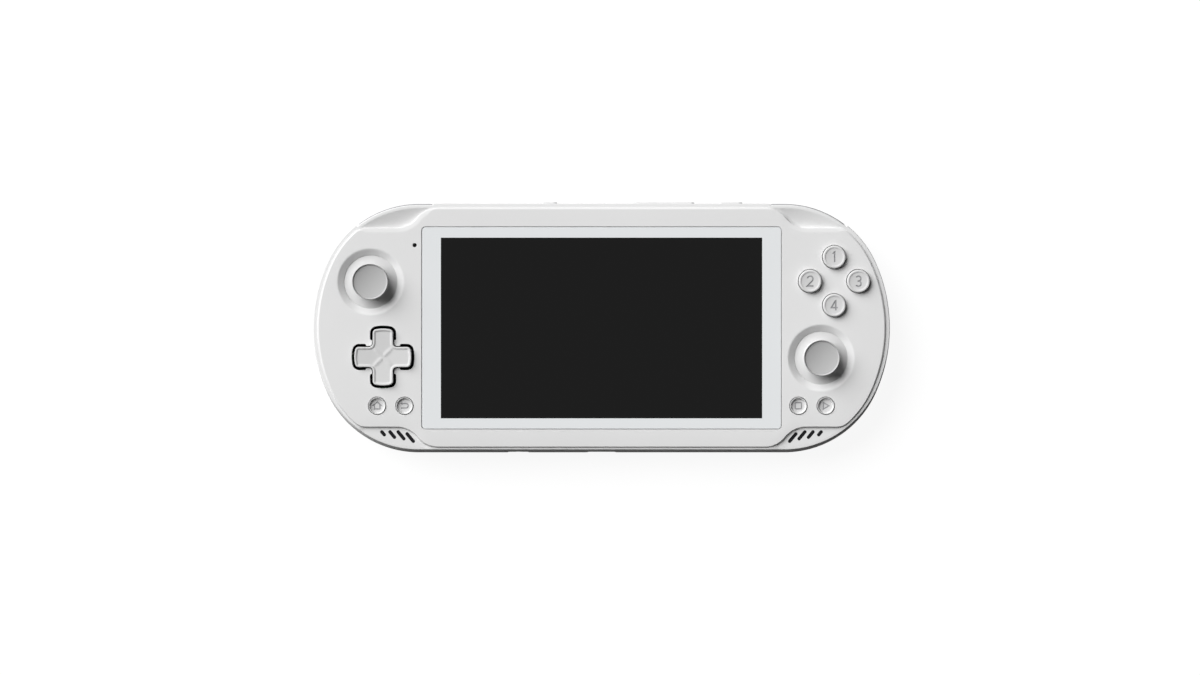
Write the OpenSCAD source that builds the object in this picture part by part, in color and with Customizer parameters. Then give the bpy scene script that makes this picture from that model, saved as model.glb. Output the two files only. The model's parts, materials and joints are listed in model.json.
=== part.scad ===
// Handheld game console with two thumb sticks, a D-pad and a wide display.
// It lies on its back: +X runs to the right of the display, +Y to the top edge
// and +Z out of the display. The origin is on the back face, under the middle.
// All lengths are in millimetres and all angles in degrees.

/* [Body] */
// Overall length, left to right
body_length = 198.6; // [192:0.2:215]
// Overall height, bottom edge to top edge
body_height = 85.8; // [80:0.2:94]
// Thickness from the back to the raised front face
body_thickness = 15; // [14.8:0.1:16.5]
// Radius of the two end curves
end_radius = 55; // [50:0.5:60]
// Radius of the four corner curves
corner_radius = 34.3; // [32.5:0.1:35.5]
// Width of the rim around the raised face
rim_width = 1.6; // [1.4:0.1:1.9]
// Height of the raised face over the rim
edge_step = 0.6; // [0.5:0.1:0.8]
// Thickness of the front panel
panel_thickness = 1.6; // [1.5:0.1:2]
// Thickness of the housing walls
wall = 1.8; // [1.6:0.1:2]
// Height of the joint between the back cover and the frame
split_height = 5.6; // [5.4:0.1:5.9]
// Width of the rounding around the back
back_round = 5.5; // [4.5:0.1:6]
// Width of the rounding at the edge of the raised face
face_round = 0.9; // [0.6:0.1:1.1]

/* [Corner cut-outs] */
// Width of the ledges, from the long edges to the ledge lines
ledge_width = 8.5; // [7.5:0.1:9]
// How far inside the lens edges the S-shaped lines leave the long edges
s_lead = 5.75; // [4:0.05:7]
// Radius of both bends of an S-shaped line
s_radius = 9; // [8:0.1:10]
// Radius of the point between a ledge line and the end
nose_radius = 6; // [5:0.1:8]
// Depth of the scoops in the top corners
scoop_depth = 0.9; // [0.7:0.05:0.95]
// Width of the scoops
scoop_width = 12; // [10:0.5:13]
// Width of the speaker slots
slot_width = 0.9; // [0.7:0.05:1.1]
// Distance between the speaker slots
slot_pitch = 2.8; // [2.6:0.05:3]

/* [Display] */
// Width of the lens
lens_width = 124.1; // [114:0.1:132]
// Height of the lens
lens_height = 69.4; // [68:0.1:70]
// Thickness of the lens
lens_thickness = 0.8; // [0.6:0.05:0.9]
// Corner radius of the lens
lens_corner = 1.2; // [1:0.1:2]
// Gap around the lens
lens_gap = 0.2; // [0.15:0.05:0.3]
// Width of the display panel behind the lens
screen_width = 115; // [106:0.1:117]
// Height of the display panel
screen_height = 65.8; // [64:0.1:66.2]
// Thickness of the display panel
screen_thickness = 2.4; // [2:0.1:2.6]

/* [Thumb sticks] */
// Left stick, its share of the free room from the lens to the outer edge
left_stick_share = 0.659; // [0.5:0.001:0.8]
// Left stick, height over the middle
left_stick_y = 15.9; // [15.4:0.1:16.4]
// Right stick, its share of the free room from the lens to the outer edge
right_stick_share = 0.196; // [0.1:0.001:0.4]
// Right stick, distance below the middle
right_stick_y = 10.3; // [9.8:0.1:10.6]
// Radius of the bowl around a stick
bowl_radius = 11.3; // [11:0.1:11.5]
// Depth of the bowl
bowl_depth = 1.4; // [1.2:0.1:1.5]
// Height of the tilting axes over the back
pivot_height = 8; // [7.8:0.05:8.1]
// Radius of the dome under a cap
dome_radius = 10.4; // [10.2:0.05:10.5]
// Radius of a cap
cap_radius = 6.15; // [5.8:0.05:6.4]
// Height of the caps over the front face
cap_rise = 4.6; // [4.2:0.1:5.2]
// Thickness of a cap
cap_thickness = 1.2; // [1.1:0.1:1.6]
// Depth of the dish in a cap
cap_dish = 0.8; // [0.5:0.05:0.9]
// Gap between dome and bowl
dome_gap = 0.3; // [0.25:0.05:0.35]

/* [Buttons] */
// D-pad, its share of the free room from the lens to the outer edge
dpad_share = 0.2; // [0.1:0.001:0.4]
// D-pad, distance below the middle
dpad_y = 10; // [9.7:0.1:10.4]
// Width across the D-pad
dpad_span = 19.4; // [18.8:0.1:19.6]
// Width of a D-pad arm
dpad_arm = 6.8; // [6.4:0.1:7]
// Gap around the ends of the arms
dpad_gap = 0.85; // [0.7:0.05:0.9]
// Height of the D-pad over the front face
dpad_rise = 1.5; // [1.3:0.1:1.8]
// Face buttons, their share of the free room from the lens to the outer edge
face_share = 0.81; // [0.5:0.001:0.9]
// Face buttons, height over the middle
face_y = 16.1; // [15.8:0.1:16.6]
// Distance of the face buttons from their middle
face_pitch = 8.3; // [8.1:0.05:8.4]
// Radius of a face button
face_radius = 3.95; // [3.7:0.05:4.05]
// Height of the face buttons over the front face
face_rise = 1.6; // [1.4:0.1:2]
// Menu buttons, their share of the free room from the lens to the outer edge
menu_share = 0.222; // [0.1:0.001:0.5]
// Menu buttons, distance below the middle
menu_y = 26.8; // [26.6:0.1:26.9]
// Distance between two menu buttons
menu_pitch = 9.4; // [9.1:0.1:9.6]
// Radius of a menu button
menu_radius = 2.9; // [2.7:0.05:3]
// Height of the menu buttons over the front face
menu_rise = 0.3; // [0.1:0.05:0.5]
// Gap around the round buttons
button_gap = 0.2; // [0.15:0.05:0.25]

/* [Edge parts] */
// Distance between the volume rocker and the power button
volume_space = 8.2; // [7:0.1:9]
// Length of the volume rocker
volume_length = 21.4; // [20:0.1:22]
// Middle of the power button, from the start of the corner curve
power_offset = 18.7; // [18:0.1:19.5]
// Length of the power button
power_length = 8.4; // [8:0.1:9]
// Middle of the small top button, left of the middle
option_x = 18.2; // [17.8:0.1:18.8]
// Length of the small top button
option_length = 5.8; // [5.4:0.1:6.2]
// Middle of the card slot, left of the middle
card_x = 31; // [30.5:0.1:32]
// How far the edge buttons stand proud
edge_rise = 0.5; // [0.3:0.05:0.6]
// Height of the edge buttons over the back
edge_button_height = 9.6; // [9.5:0.05:9.8]
// Middle of the headphone jack, left of the middle
jack_x = 28.7; // [28:0.1:30]
// Radius of the headphone plug opening
jack_bore = 1.8; // [1.78:0.01:1.85]
// Height of the ports over the back
port_height = 9; // [8.9:0.05:9.1]
// Where the shoulder buttons end on the corner curve, as an angle from the long edge
shoulder_sweep = 38; // [35:0.5:40]

/* [Hidden] */
$fn = 48;
half_length = body_length / 2;
half_height = body_height / 2;
face_z = body_thickness;
crest_z = face_z - edge_step;
rim_z = face_z - panel_thickness;
ledge_thickness = 1.5;
ledge_z = rim_z - ledge_thickness;
side_z = split_height + 1.9;
screw_z = 9;
board_top = 9.8;
board_thickness = 1;
pin_fit = 0.1;
port_width = 8.94;
port_thickness = 3.26;
port_board_width = 8;

// Centres of the end and corner curves, and the angle where they meet
end_x = half_length - end_radius;
corner_y = half_height - corner_radius;
corner_x = end_x + sqrt(pow(end_radius - corner_radius, 2) - pow(corner_y, 2));
join_angle = atan2(corner_y, corner_x - end_x);

// The S-shaped lines and noses of the raised face
face_level = half_height - rim_width;
ledge_level = half_height - ledge_width;
s_start = lens_width / 2 - s_lead;
s_angle = acos(1 - (face_level - ledge_level) / (2 * s_radius));
s_end = s_start + 2 * s_radius * sin(s_angle);
nose_y = ledge_level - nose_radius;
nose_x = corner_x + sqrt(pow(corner_radius - rim_width - nose_radius, 2) - pow(nose_y - corner_y, 2));
nose_angle = atan2(nose_y - corner_y, nose_x - corner_x);

// Where a control of a given reach stands, between the lens and the outer edge at its height
face_margin = 1.4;
grip_start = lens_width / 2 + lens_gap;
function grip_end(y) = (y < (end_radius - rim_width) * sin(join_angle)
    ? end_x + sqrt(pow(end_radius - rim_width, 2) - pow(y, 2))
    : corner_x + sqrt(pow(corner_radius - rim_width, 2) - pow(y - corner_y, 2))) - face_margin;
function grip_place(share, y, reach) =
    grip_start + reach + share * (grip_end(y) - grip_start - 2 * reach);
left_stick_x = grip_place(left_stick_share, left_stick_y, bowl_radius);
right_stick_x = grip_place(right_stick_share, right_stick_y, bowl_radius);
dpad_x = grip_place(dpad_share, dpad_y, dpad_span / 2 + dpad_gap);
face_x = grip_place(face_share, face_y, face_pitch + face_radius + button_gap);
menu_x = grip_place(menu_share, menu_y, (menu_pitch / 2 + menu_radius + button_gap)) - menu_pitch / 2;
power_x = corner_x - power_offset;
volume_x = power_x - power_length / 2 - volume_space - volume_length / 2;

// Outlines are lists of stations: a point and the outward direction there
function unit(a) = [cos(a), sin(a)];
function arc(centre, r, from, to) =
    let (step = abs(r) > 20 ? 4 : abs(r) > 4 ? 9 : 20, n = max(1, ceil(abs(to - from) / step)))
    [for (i = [0:n]) let (a = from + (to - from) * i / n) [centre + r * unit(a), unit(a)]];
function flip_x(s) =
    [for (i = [len(s) - 1:-1:0]) [[-s[i][0].x, s[i][0].y], [-s[i][1].x, s[i][1].y]]];
function flip_y(s) =
    [for (i = [len(s) - 1:-1:0]) [[s[i][0].x, -s[i][0].y], [s[i][1].x, -s[i][1].y]]];
function distinct(s) =
    [for (i = [0:len(s) - 1]) if (norm(s[i][0] - s[(i + len(s) - 1) % len(s)][0]) > 0.001) s[i]];
function four_fold(q) =
    let (half = concat(q, flip_x(q)))
    distinct(concat(half, flip_y(half)));

body_outline = four_fold(concat(
    arc([end_x, 0], end_radius, 0, join_angle),
    arc([corner_x, corner_y], corner_radius, join_angle, 90)));

face_outline = four_fold(concat(
    arc([end_x, 0], end_radius - rim_width, 0, join_angle),
    arc([corner_x, corner_y], corner_radius - rim_width, join_angle, nose_angle),
    arc([nose_x, nose_y], nose_radius, nose_angle, 90),
    arc([s_end, ledge_level + s_radius], -s_radius, 90, 90 - s_angle),
    arc([s_start, face_level - s_radius], s_radius, 90 - s_angle, 90)));

function rounded_rectangle(w, h, r) = four_fold(arc([w / 2 - r, h / 2 - r], r, 0, 90));

// The D-pad: slightly bulging ends, rounded corners and filleted inner corners
function cross_outline(span, arm) =
    let (end_r = span, corner_r = 1.3, fillet_r = 1.3, x0 = span / 2 - end_r, y0 = arm / 2 - corner_r)
    let (x1 = x0 + sqrt(pow(end_r - corner_r, 2) - pow(y0, 2)), a = atan2(y0, x1 - x0))
    four_fold(concat(
        arc([x0, 0], end_r, 0, a),
        arc([x1, y0], corner_r, a, 90),
        arc([arm / 2 + fillet_r, arm / 2 + fillet_r], -fillet_r, 90, 0),
        arc([y0, x1], corner_r, 0, 90 - a),
        arc([0, x0], end_r, 90 - a, 90)));

// Shapes made from stations
module plan(s, inset = 0) {
    polygon([for (p = s) p[0] - inset * p[1]]);
}

module slab(s, inset, from, to) {
    translate([0, 0, from])
        linear_extrude(to - from)
            plan(s, inset);
}

function lofted(s, sections) =
    [for (q = sections) for (p = s) [p[0].x - q[0] * p[1].x, p[0].y - q[0] * p[1].y, q[1]]];

// A closed skin through sections given as [inset, height]; both caps fan out from the middle
module loft(s, sections) {
    n = len(s);
    m = len(sections);
    middles = [[0, 0, sections[0][1]], [0, 0, sections[m - 1][1]]];
    sides = [for (k = [0:m - 2]) for (i = [0:n - 1])
        [k * n + i, (k + 1) * n + i, (k + 1) * n + (i + 1) % n, k * n + (i + 1) % n]];
    first_cap = [for (i = [0:n - 1]) [i, (i + 1) % n, m * n]];
    last_cap = [for (i = [0:n - 1]) [(m - 1) * n + (i + 1) % n, (m - 1) * n + i, m * n + 1]];
    polyhedron(concat(lofted(s, sections), middles), concat(sides, first_cap, last_cap));
}

// A cross-section carried once around a closed outline
module ring(s, sections) {
    n = len(s);
    m = len(sections);
    polyhedron(lofted(s, sections), [for (k = [0:m - 1]) for (i = [0:n - 1])
        [k * n + i, ((k + 1) % m) * n + i, ((k + 1) % m) * n + (i + 1) % n, k * n + (i + 1) % n]]);
}

// A cross-section carried along an open run of stations
module bar(s, sections) {
    n = len(s);
    m = len(sections);
    sides = [for (k = [0:m - 1]) for (i = [0:n - 2])
        [k * n + i, ((k + 1) % m) * n + i, ((k + 1) % m) * n + i + 1, k * n + i + 1]];
    ends = [[for (k = [m - 1:-1:0]) k * n], [for (k = [0:m - 1]) k * n + n - 1]];
    polyhedron(lofted(s, sections), concat(sides, ends));
}

module at(x, y, z = 0) {
    translate([x, y, z])
        children();
}

module both_sides() {
    children();
    mirror([1, 0, 0])
        children();
}

// A pill-shaped bar along Y, starting at the given y
module pill(length, height, from, to, z) {
    translate([0, from, z])
        rotate([-90, 0, 0])
            linear_extrude(to - from)
                plan(rounded_rectangle(length, height, height / 2 - 0.01));
}

// Heights along the curve from the back face to the widest line of the sides
split_turn = asin(1 - split_height / side_z);
function back_curve(from, to, steps) =
    [for (i = [0:steps]) let (a = from + (to - from) * i / steps)
        [back_round * (1 - cos(a)), side_z * (1 - sin(a))]];

// Places of the housing screws and of the posts for the control boards
screw_boss = 2.6;
screw_x = lens_width / 2 - 0.85;
screw_y = half_height - 11.9;
end_screw = [half_length - 7.8, 3.5];
screw_places = [for (s = [1, -1]) for (p = [[screw_x, screw_y], [screw_x, -screw_y], end_screw])
    [s * p.x, p.y]];
board_posts = [[half_length - 7.3, -3], [grip_start + 2.65, 2.3], [half_length - 11.3, -20]];
main_half = screen_width / 2 - 4.5;
main_edge = half_height - 4.9;
main_width = 30.6;
main_posts = [for (s = [1, -1]) for (y = [27, 4]) [s * (main_half - 4), main_edge - y]];
port_edge = -half_height + 4;
port_posts = [[-jack_x - 7.3, port_edge + 4.9], [port_width / 2 + 4.53, port_edge + 4.9]];
mic_place = [-grip_start - 2.05, screw_y - 2.5];
mic_radius = 0.63;
face_places = [for (a = [90, 180, 0, 270]) [face_x, face_y] + face_pitch * unit(a)];
menu_places = [[-menu_x - menu_pitch, -menu_y], [-menu_x, -menu_y], [menu_x, -menu_y],
    [menu_x + menu_pitch, -menu_y]];
stick_places = [[-left_stick_x, left_stick_y], [right_stick_x, -right_stick_y]];

// Housing

panel_edge = [for (i = [0:4]) let (a = 90 * i / 4)
    [face_round * (1 - cos(a)), face_z - (edge_step + 0.2) * (1 - sin(a))]];

module front_panel() {
    color("white")
    difference() {
        union() {
            loft(face_outline, concat([[0, rim_z]], panel_edge));
            for (p = stick_places)
                at(p.x, p.y, face_z - bowl_depth - 1.6)
                    cylinder(h = bowl_depth + 1, r = bowl_radius + 1.2);
            for (p = screw_places)
                at(p.x, p.y, screw_z)
                    cylinder(h = rim_z - screw_z + 0.1, r = 2.4);
            both_sides()
                for (p = board_posts)
                    at(p.x, p.y, board_top)
                        cylinder(h = rim_z - board_top + 0.1, r = 1.7);
        }
        slab(rounded_rectangle(lens_width, lens_height, lens_corner), -lens_gap,
            face_z - lens_thickness, face_z + 1);
        slab(rounded_rectangle(screen_width, screen_height, 1), -0.4, rim_z - 1, face_z);
        for (p = stick_places)
            at(p.x, p.y)
                bowl();
        at(-dpad_x, -dpad_y, rim_z - 1)
            linear_extrude(panel_thickness + 2) {
                plan(cross_outline(dpad_span, dpad_arm), -0.3);
                difference() {
                    plan(cross_outline(dpad_span, dpad_arm), -dpad_gap);
                    square(0.6 * dpad_span, center = true);
                }
            }
        for (p = face_places)
            at(p.x, p.y, rim_z - 1)
                cylinder(h = panel_thickness + 2, r = face_radius + button_gap);
        for (p = menu_places)
            at(p.x, p.y, rim_z - 1)
                cylinder(h = panel_thickness + 2, r = menu_radius + button_gap);
        at(mic_place.x, mic_place.y, rim_z - 1)
            cylinder(h = panel_thickness + 2, r = mic_radius);
        for (p = screw_places)
            at(p.x, p.y, screw_z - 1)
                cylinder(h = 4, r = 1);
        both_sides()
            for (p = board_posts)
                at(p.x, p.y, board_top - 1)
                    cylinder(h = 3.4, r = 0.75);
    }
}

// The bowl widens to the front face; under it the opening follows the dome
function seat_radius(z) = sqrt(pow(dome_radius + dome_gap, 2) - pow(z - pivot_height, 2));
bowl_z = face_z - bowl_depth;
bowl_slope = (bowl_radius - seat_radius(bowl_z)) / bowl_depth;

module bowl() {
    rotate_extrude()
        polygon(concat(
            [[0, bowl_z - 2]],
            [for (d = [2, 1, 0]) [seat_radius(bowl_z - d), bowl_z - d]],
            [[bowl_radius + bowl_slope, face_z + 1], [0, face_z + 1]]));
}

frame_inner = wall + 0.2;
lip_gap = 0.15;
panel_gap = 0.1;
shelf_overlap = 1.5;

// The run of stations that the right shoulder buttons follow, from just before the corner curve
shoulder_lead = 4.93;
function shoulder_run(margin) = concat(
    arc([corner_x, corner_y], corner_radius, 90 - shoulder_sweep - margin, 90),
    [[[corner_x - shoulder_lead - margin / 2, half_height], [0, 1]]]);
shoulder_split = split_height + 0.1;
shoulder_top = ledge_z - 1.1;
pin_place = [corner_x - shoulder_lead - 2.4, half_height - 3.5];
pin_radius = 0.75;
shoulder_reach = norm(shoulder_run(0)[0][0] - pin_place);

// The far end of the shoulder windows follows a circle about the pin, so that the buttons can swing in
module swing_room(depth, from, to) {
    intersection() {
        difference() {
            slab(body_outline, -1, from, to);
            slab(body_outline, depth, from - 1, to + 1);
        }
        at(pin_place.x, pin_place.y, from - 1)
            cylinder(h = to - from + 2, r = shoulder_reach + 0.4);
        at(corner_x, corner_y, 0)
            cube([half_length, half_height, face_z]);
    }
}

module middle_frame() {
    color("white")
    difference() {
        union() {
            ring(body_outline, concat(
                [[frame_inner, split_height]],
                back_curve(split_turn, 0, 1),
                [for (i = [0:3]) let (a = 30 * i) [1.1 * (1 - cos(a)), crest_z - 2 * (1 - sin(a))]],
                [[frame_inner, crest_z]]));
            difference() {
                slab(body_outline, frame_inner - 0.5, ledge_z, crest_z);
                slab(face_outline, shelf_overlap, ledge_z - 1, face_z);
            }
            both_sides() {
                intersection() {
                    difference() {
                        slab(body_outline, frame_inner - 0.5, shoulder_top + 0.2, rim_z - 0.4);
                        slab(face_outline, shelf_overlap, ledge_z - 2, rim_z + 1);
                    }
                    at(pin_place.x + 1, corner_y, 0)
                        cube([half_length, half_height, face_z]);
                }
                at(pin_place.x, pin_place.y, shoulder_top + 0.2)
                    cylinder(h = rim_z - shoulder_top - 0.3, r = 1.8);
            }
        }
        slab(face_outline, -panel_gap, rim_z, face_z);
        both_sides() {
            bar(shoulder_run(0.8), [[-1, split_height - 1], [-1, shoulder_top + 0.2],
                [frame_inner + 3, shoulder_top + 0.2], [frame_inner + 3, split_height - 1]]);
            bar(shoulder_run(0.4), [[-1, shoulder_top], [-1, face_z],
                [0.5, face_z], [0.5, shoulder_top]]);
            swing_room(frame_inner + 3, split_height - 1, shoulder_top + 0.2);
            scoop();
            speaker_slots();
            at(pin_place.x, pin_place.y, shoulder_top - 1)
                cylinder(h = 1.9, r = pin_radius + 0.05);
        }
        for (b = edge_buttons)
            at(b[0], 0)
                pill(b[1] + 2 * button_gap, edge_button_width + 2 * button_gap,
                    half_height - 4, half_height + 2, edge_button_height);
        at(-card_x, 0)
            pill(card_width + 1.4, 1.6, half_height - 4, half_height + 2, card_z);
        pill(port_width + 0.4, port_thickness + 0.4, -half_height - 2, -half_height + 4, port_height);
        jack_hole();
    }
}

edge_button_width = 3;
edge_buttons = [[volume_x, volume_length], [power_x, power_length], [-option_x, option_length]];

module jack_hole() {
    at(-jack_x, -half_height - 2, port_height)
        rotate([-90, 0, 0])
            cylinder(h = 6, r = jack_radius + 0.15);
}

// A ring-shaped hollow that runs along the corner curve
scoop_r = (pow(scoop_width / 2, 2) + pow(scoop_depth, 2)) / (2 * scoop_depth);

module scoop() {
    intersection() {
        at(corner_x, corner_y, crest_z - scoop_depth + scoop_r)
            rotate_extrude()
                translate([corner_radius - 1 - scoop_width / 2, 0])
                    circle(r = scoop_r);
        difference() {
            slab(body_outline, 0.9, rim_z - 2, face_z);
            slab(face_outline, 0.5, rim_z - 3, face_z + 1);
        }
        at(0, corner_y, 0)
            cube([half_length, half_height, face_z]);
    }
}

module speaker_slots() {
    for (i = [0:3]) {
        step = i == 3 ? 0.3 : 0;
        length = 0.9 + 0.62 * i;
        start = (s_end + nose_x) / 2 + 0.15 - i * slot_pitch - step;
        at(start, -ledge_level - 1.1 - 2.3 * step, ledge_z - 1)
            rotate([0, 0, 230])
                linear_extrude(crest_z - ledge_z + 2)
                    translate([length / 2, 0])
                        plan(rounded_rectangle(length + slot_width, slot_width, slot_width / 2 - 0.01));
    }
}

module back_cover() {
    color("white")
    difference() {
        union() {
            loft(body_outline, concat(
                back_curve(90, split_turn, 6),
                [[frame_inner + lip_gap, split_height], [frame_inner + lip_gap, split_height + 0.9],
                    [frame_inner + 1, split_height + 0.9], [frame_inner + 1, split_height - 0.6]],
                [for (i = [1:4]) let (a = 90 * i / 4)
                    [frame_inner + 1 + back_round * 0.8 * (1 - cos(a)),
                        wall + (split_height - 0.6 - wall) * (1 - sin(a))]]));
            for (p = screw_places)
                at(p.x, p.y, wall - 0.5)
                    cylinder(h = screw_z - wall + 0.5, r = screw_boss);
            for (p = main_posts)
                at(p.x, p.y, wall - 0.5)
                    cylinder(h = main_z - wall + 0.5, r = 1.8);
            for (p = port_posts)
                at(p.x, p.y, wall - 0.5)
                    cylinder(h = port_board_z - wall + 0.5, r = 1.7);
            both_sides()
                at(pin_place.x, pin_place.y, wall)
                    cylinder(h = trigger_lug_z - 0.3 - wall, r = 1.8);
        }
        for (p = screw_places)
            at(p.x, p.y) {
                translate([0, 0, -1])
                    cylinder(h = 2.4, r = 2.1);
                cylinder(h = screw_z + 1, r = 1.1);
            }
        for (p = concat(main_posts, port_posts))
            at(p.x, p.y, wall + 1)
                cylinder(h = 8, r = 0.75);
        both_sides() {
            bar(shoulder_run(0.8), [[-1, trigger_bottom - 0.25], [-1, split_height + 2],
                [frame_inner + 4, split_height + 2], [frame_inner + 4, trigger_bottom - 0.25]]);
            swing_room(frame_inner + 4, trigger_bottom - 0.25, split_height + 2);
            at(pin_place.x, pin_place.y, wall + 0.4)
                cylinder(h = 8, r = pin_radius + 0.05);
            at(pin_place.x - arm_radius - 0.4, pin_place.y - arm_radius - 1, trigger_lug_z - 0.3)
                cube([4.5, 2 * arm_radius + 1.25, split_height]);
        }
        jack_hole();
    }
}

module housing_screws() {
    color("silver")
    for (p = screw_places)
        at(p.x, p.y)
            screw(1.4, 1.9, 1.1, 0.95, 10.2);
}

// A screw from below: seat height, head radius and height, shank radius and length
module screw(seat, head_r, head_h, shank_r, length) {
    difference() {
        union() {
            translate([0, 0, seat - head_h])
                cylinder(h = head_h, r = head_r);
            translate([0, 0, seat - 0.1])
                cylinder(h = length + 0.1, r = shank_r);
        }
        for (turn = [0, 90])
            rotate([0, 0, turn])
                translate([-head_r * 0.6, -0.2, seat - head_h - 1])
                    cube([head_r * 1.2, 0.4, 1.6]);
    }
}

// Display

module display_lens() {
    color("gainsboro")
    slab(rounded_rectangle(lens_width, lens_height, lens_corner), 0, face_z - lens_thickness, face_z);
}

module display_panel() {
    color("black")
    slab(rounded_rectangle(screen_width, screen_height, 1), 0,
        face_z - lens_thickness - screen_thickness, face_z - lens_thickness);
}

// Thumb sticks, built around the tilting axes at the origin

dome_wall = 1.1;
skirt_drop = 0.15 * dome_radius;
base_half = 0.536 * dome_radius;
base_inner = base_half - 0.9;
base_foot = base_half + 1.4;
gimbal_outer = base_inner - 0.5;
gimbal_inner = gimbal_outer - 1.2;
gimbal_height = 2.2;
pin_r = 0.6;
lever_top = dome_radius - dome_wall - 0.7;
cap_top = face_z + cap_rise - pivot_height;
neck_top = cap_top - cap_thickness;
neck_radius = cap_radius - 0.2;
neck_foot = neck_radius + 0.95;
neck_start = sqrt(pow(dome_radius, 2) - pow(neck_foot, 2));

module stick_base() {
    color("dimgray")
    difference() {
        union() {
            translate([-base_half, -base_half, -3.2])
                cube([2 * base_half, 2 * base_half, 4.6]);
            translate([-base_foot, -base_foot, wall - pivot_height])
                cube([2 * base_foot, 2 * base_foot, pivot_height - wall - 3.1]);
        }
        translate([-base_inner, -base_inner, -2.6])
            cube([2 * base_inner, 2 * base_inner, 6]);
        rotate([0, 90, 0])
            cylinder(h = 2 * base_half + 2, r = pin_r + pin_fit, center = true);
    }
}

module stick_gimbal() {
    color("gray")
    difference() {
        union() {
            cube([2 * gimbal_outer, 2 * gimbal_outer, gimbal_height], center = true);
            rotate([0, 90, 0])
                cylinder(h = 2 * base_half - 0.4, r = pin_r, center = true);
        }
        cube([2 * gimbal_inner, 2 * gimbal_inner, gimbal_height + 2], center = true);
        rotate([90, 0, 0])
            cylinder(h = 2 * gimbal_outer + 2, r = pin_r + pin_fit, center = true);
    }
}

module stick_lever() {
    color("silver")
    union() {
        rotate([90, 0, 0])
            cylinder(h = 2 * gimbal_inner - 0.5, r = 1.3, center = true);
        rotate([90, 0, 0])
            cylinder(h = 2 * gimbal_outer - 0.3, r = pin_r, center = true);
        cylinder(h = lever_top, r = 1.1);
    }
}

module stick_dome() {
    color("white")
    difference() {
        union() {
            difference() {
                union() {
                    sphere(r = dome_radius);
                    rotate_extrude()
                        polygon([[0, neck_start - 0.6], [neck_foot, neck_start - 0.1],
                            [neck_radius + 0.5, neck_start + 0.45], [neck_radius + 0.2, neck_start + 0.8],
                            [neck_radius, neck_start + 1], [neck_radius, neck_top], [0, neck_top]]);
                }
                sphere(r = dome_radius - dome_wall);
                translate([-20, -20, -40 + skirt_drop])
                    cube([40, 40, 40]);
            }
            translate([0, 0, 4])
                cylinder(h = dome_radius - dome_wall - 3.9, r = 2.6);
        }
        translate([-20, -20, neck_top])
            cube([40, 40, 20]);
        translate([0, 0, 3])
            cylinder(h = lever_top + 0.5 - 3, r = 1.1 + pin_fit);
    }
}

module stick_cap() {
    dish_r = cap_radius - 0.55;
    step = 0.4 * cap_dish;
    color("darkgray")
    rotate_extrude()
        polygon(concat(
            [[0, neck_top], [cap_radius - 0.2, neck_top], [cap_radius, neck_top + 0.2],
                [cap_radius, cap_top - 0.3], [cap_radius - 0.05, cap_top - 0.1], [cap_radius - 0.15, cap_top],
                [cap_radius - 0.25, cap_top - 0.03]],
            [for (i = [0:5]) [dish_r * (1 - i / 5),
                cap_top - step - (cap_dish - step) * (1 - pow(1 - i / 5, 2))]]));
}

// D-pad, built around its rocking centre at the origin

dpad_pivot = rim_z - 0.1;
dpad_top = face_z + dpad_rise - dpad_pivot;
ball_r = 1.2;

// A four-sided pyramid standing on its tip
module pyramid(half, height) {
    corners = [for (a = [45:90:315]) [sqrt(2) * half * cos(a), sqrt(2) * half * sin(a), height]];
    polyhedron(concat([[0, 0, 0]], corners),
        concat([for (i = [1:4]) [i, i % 4 + 1, 0]], [[3, 2, 1], [4, 3, 1]]));
}

module dpad() {
    outline = cross_outline(dpad_span, dpad_arm);
    flange = 0.3 * dpad_span;
    color("white")
    difference() {
        union() {
            loft(outline, [[0, -0.8], [0, dpad_top - 0.7], [0.2, dpad_top - 0.25], [0.6, dpad_top]]);
            rotate_extrude()
                polygon([[0, -1.8], [flange - 0.8, -1.8], [flange, -1.3], [flange, -1.2],
                    [flange - 1.2, -0.6], [0, -0.6]]);
        }
        translate([0, 0, dpad_top - 0.6])
            pyramid(dpad_span, 1.2);
        sphere(r = ball_r + pin_fit);
        translate([0, 0, -2.5])
            cylinder(h = 2.5, r1 = 2.2, r2 = ball_r);
    }
}

module dpad_ball() {
    color("silver")
    sphere(r = ball_r);
}

module dpad_post() {
    color("silver")
    difference() {
        translate([0, 0, board_top - dpad_pivot])
            cylinder(h = dpad_pivot - board_top - 0.5, r = 1);
        sphere(r = ball_r + pin_fit);
    }
}

mat_top = board_top + 0.6;
dome_top = board_top + 1.1;

module dpad_mat() {
    mat_width = dpad_span + 1.6;
    color("black")
    at(-dpad_x, -dpad_y)
        difference() {
            union() {
                slab(rounded_rectangle(mat_width, mat_width, 4), 0, board_top, mat_top);
                for (a = [0:90:270])
                    rotate([0, 0, a])
                        at(7, 0, mat_top - 0.1)
                            cylinder(h = dome_top - mat_top + 0.1, r1 = 2.8, r2 = 2);
            }
            at(0, 0, board_top - 1)
                cylinder(h = 4, r = 1.3);
        }
}

module face_mat() {
    mat_width = 2 * face_pitch + 6.8;
    color("black")
    union() {
        at(face_x, face_y)
            slab(rounded_rectangle(mat_width, mat_width, 8), 0, board_top, mat_top);
        for (p = face_places)
            at(p.x, p.y, mat_top - 0.1)
                cylinder(h = dome_top - mat_top + 0.1, r1 = 3, r2 = 2.2);
    }
}

// Buttons, built on the axis at their place

flange_top = rim_z - 0.2;

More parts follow.
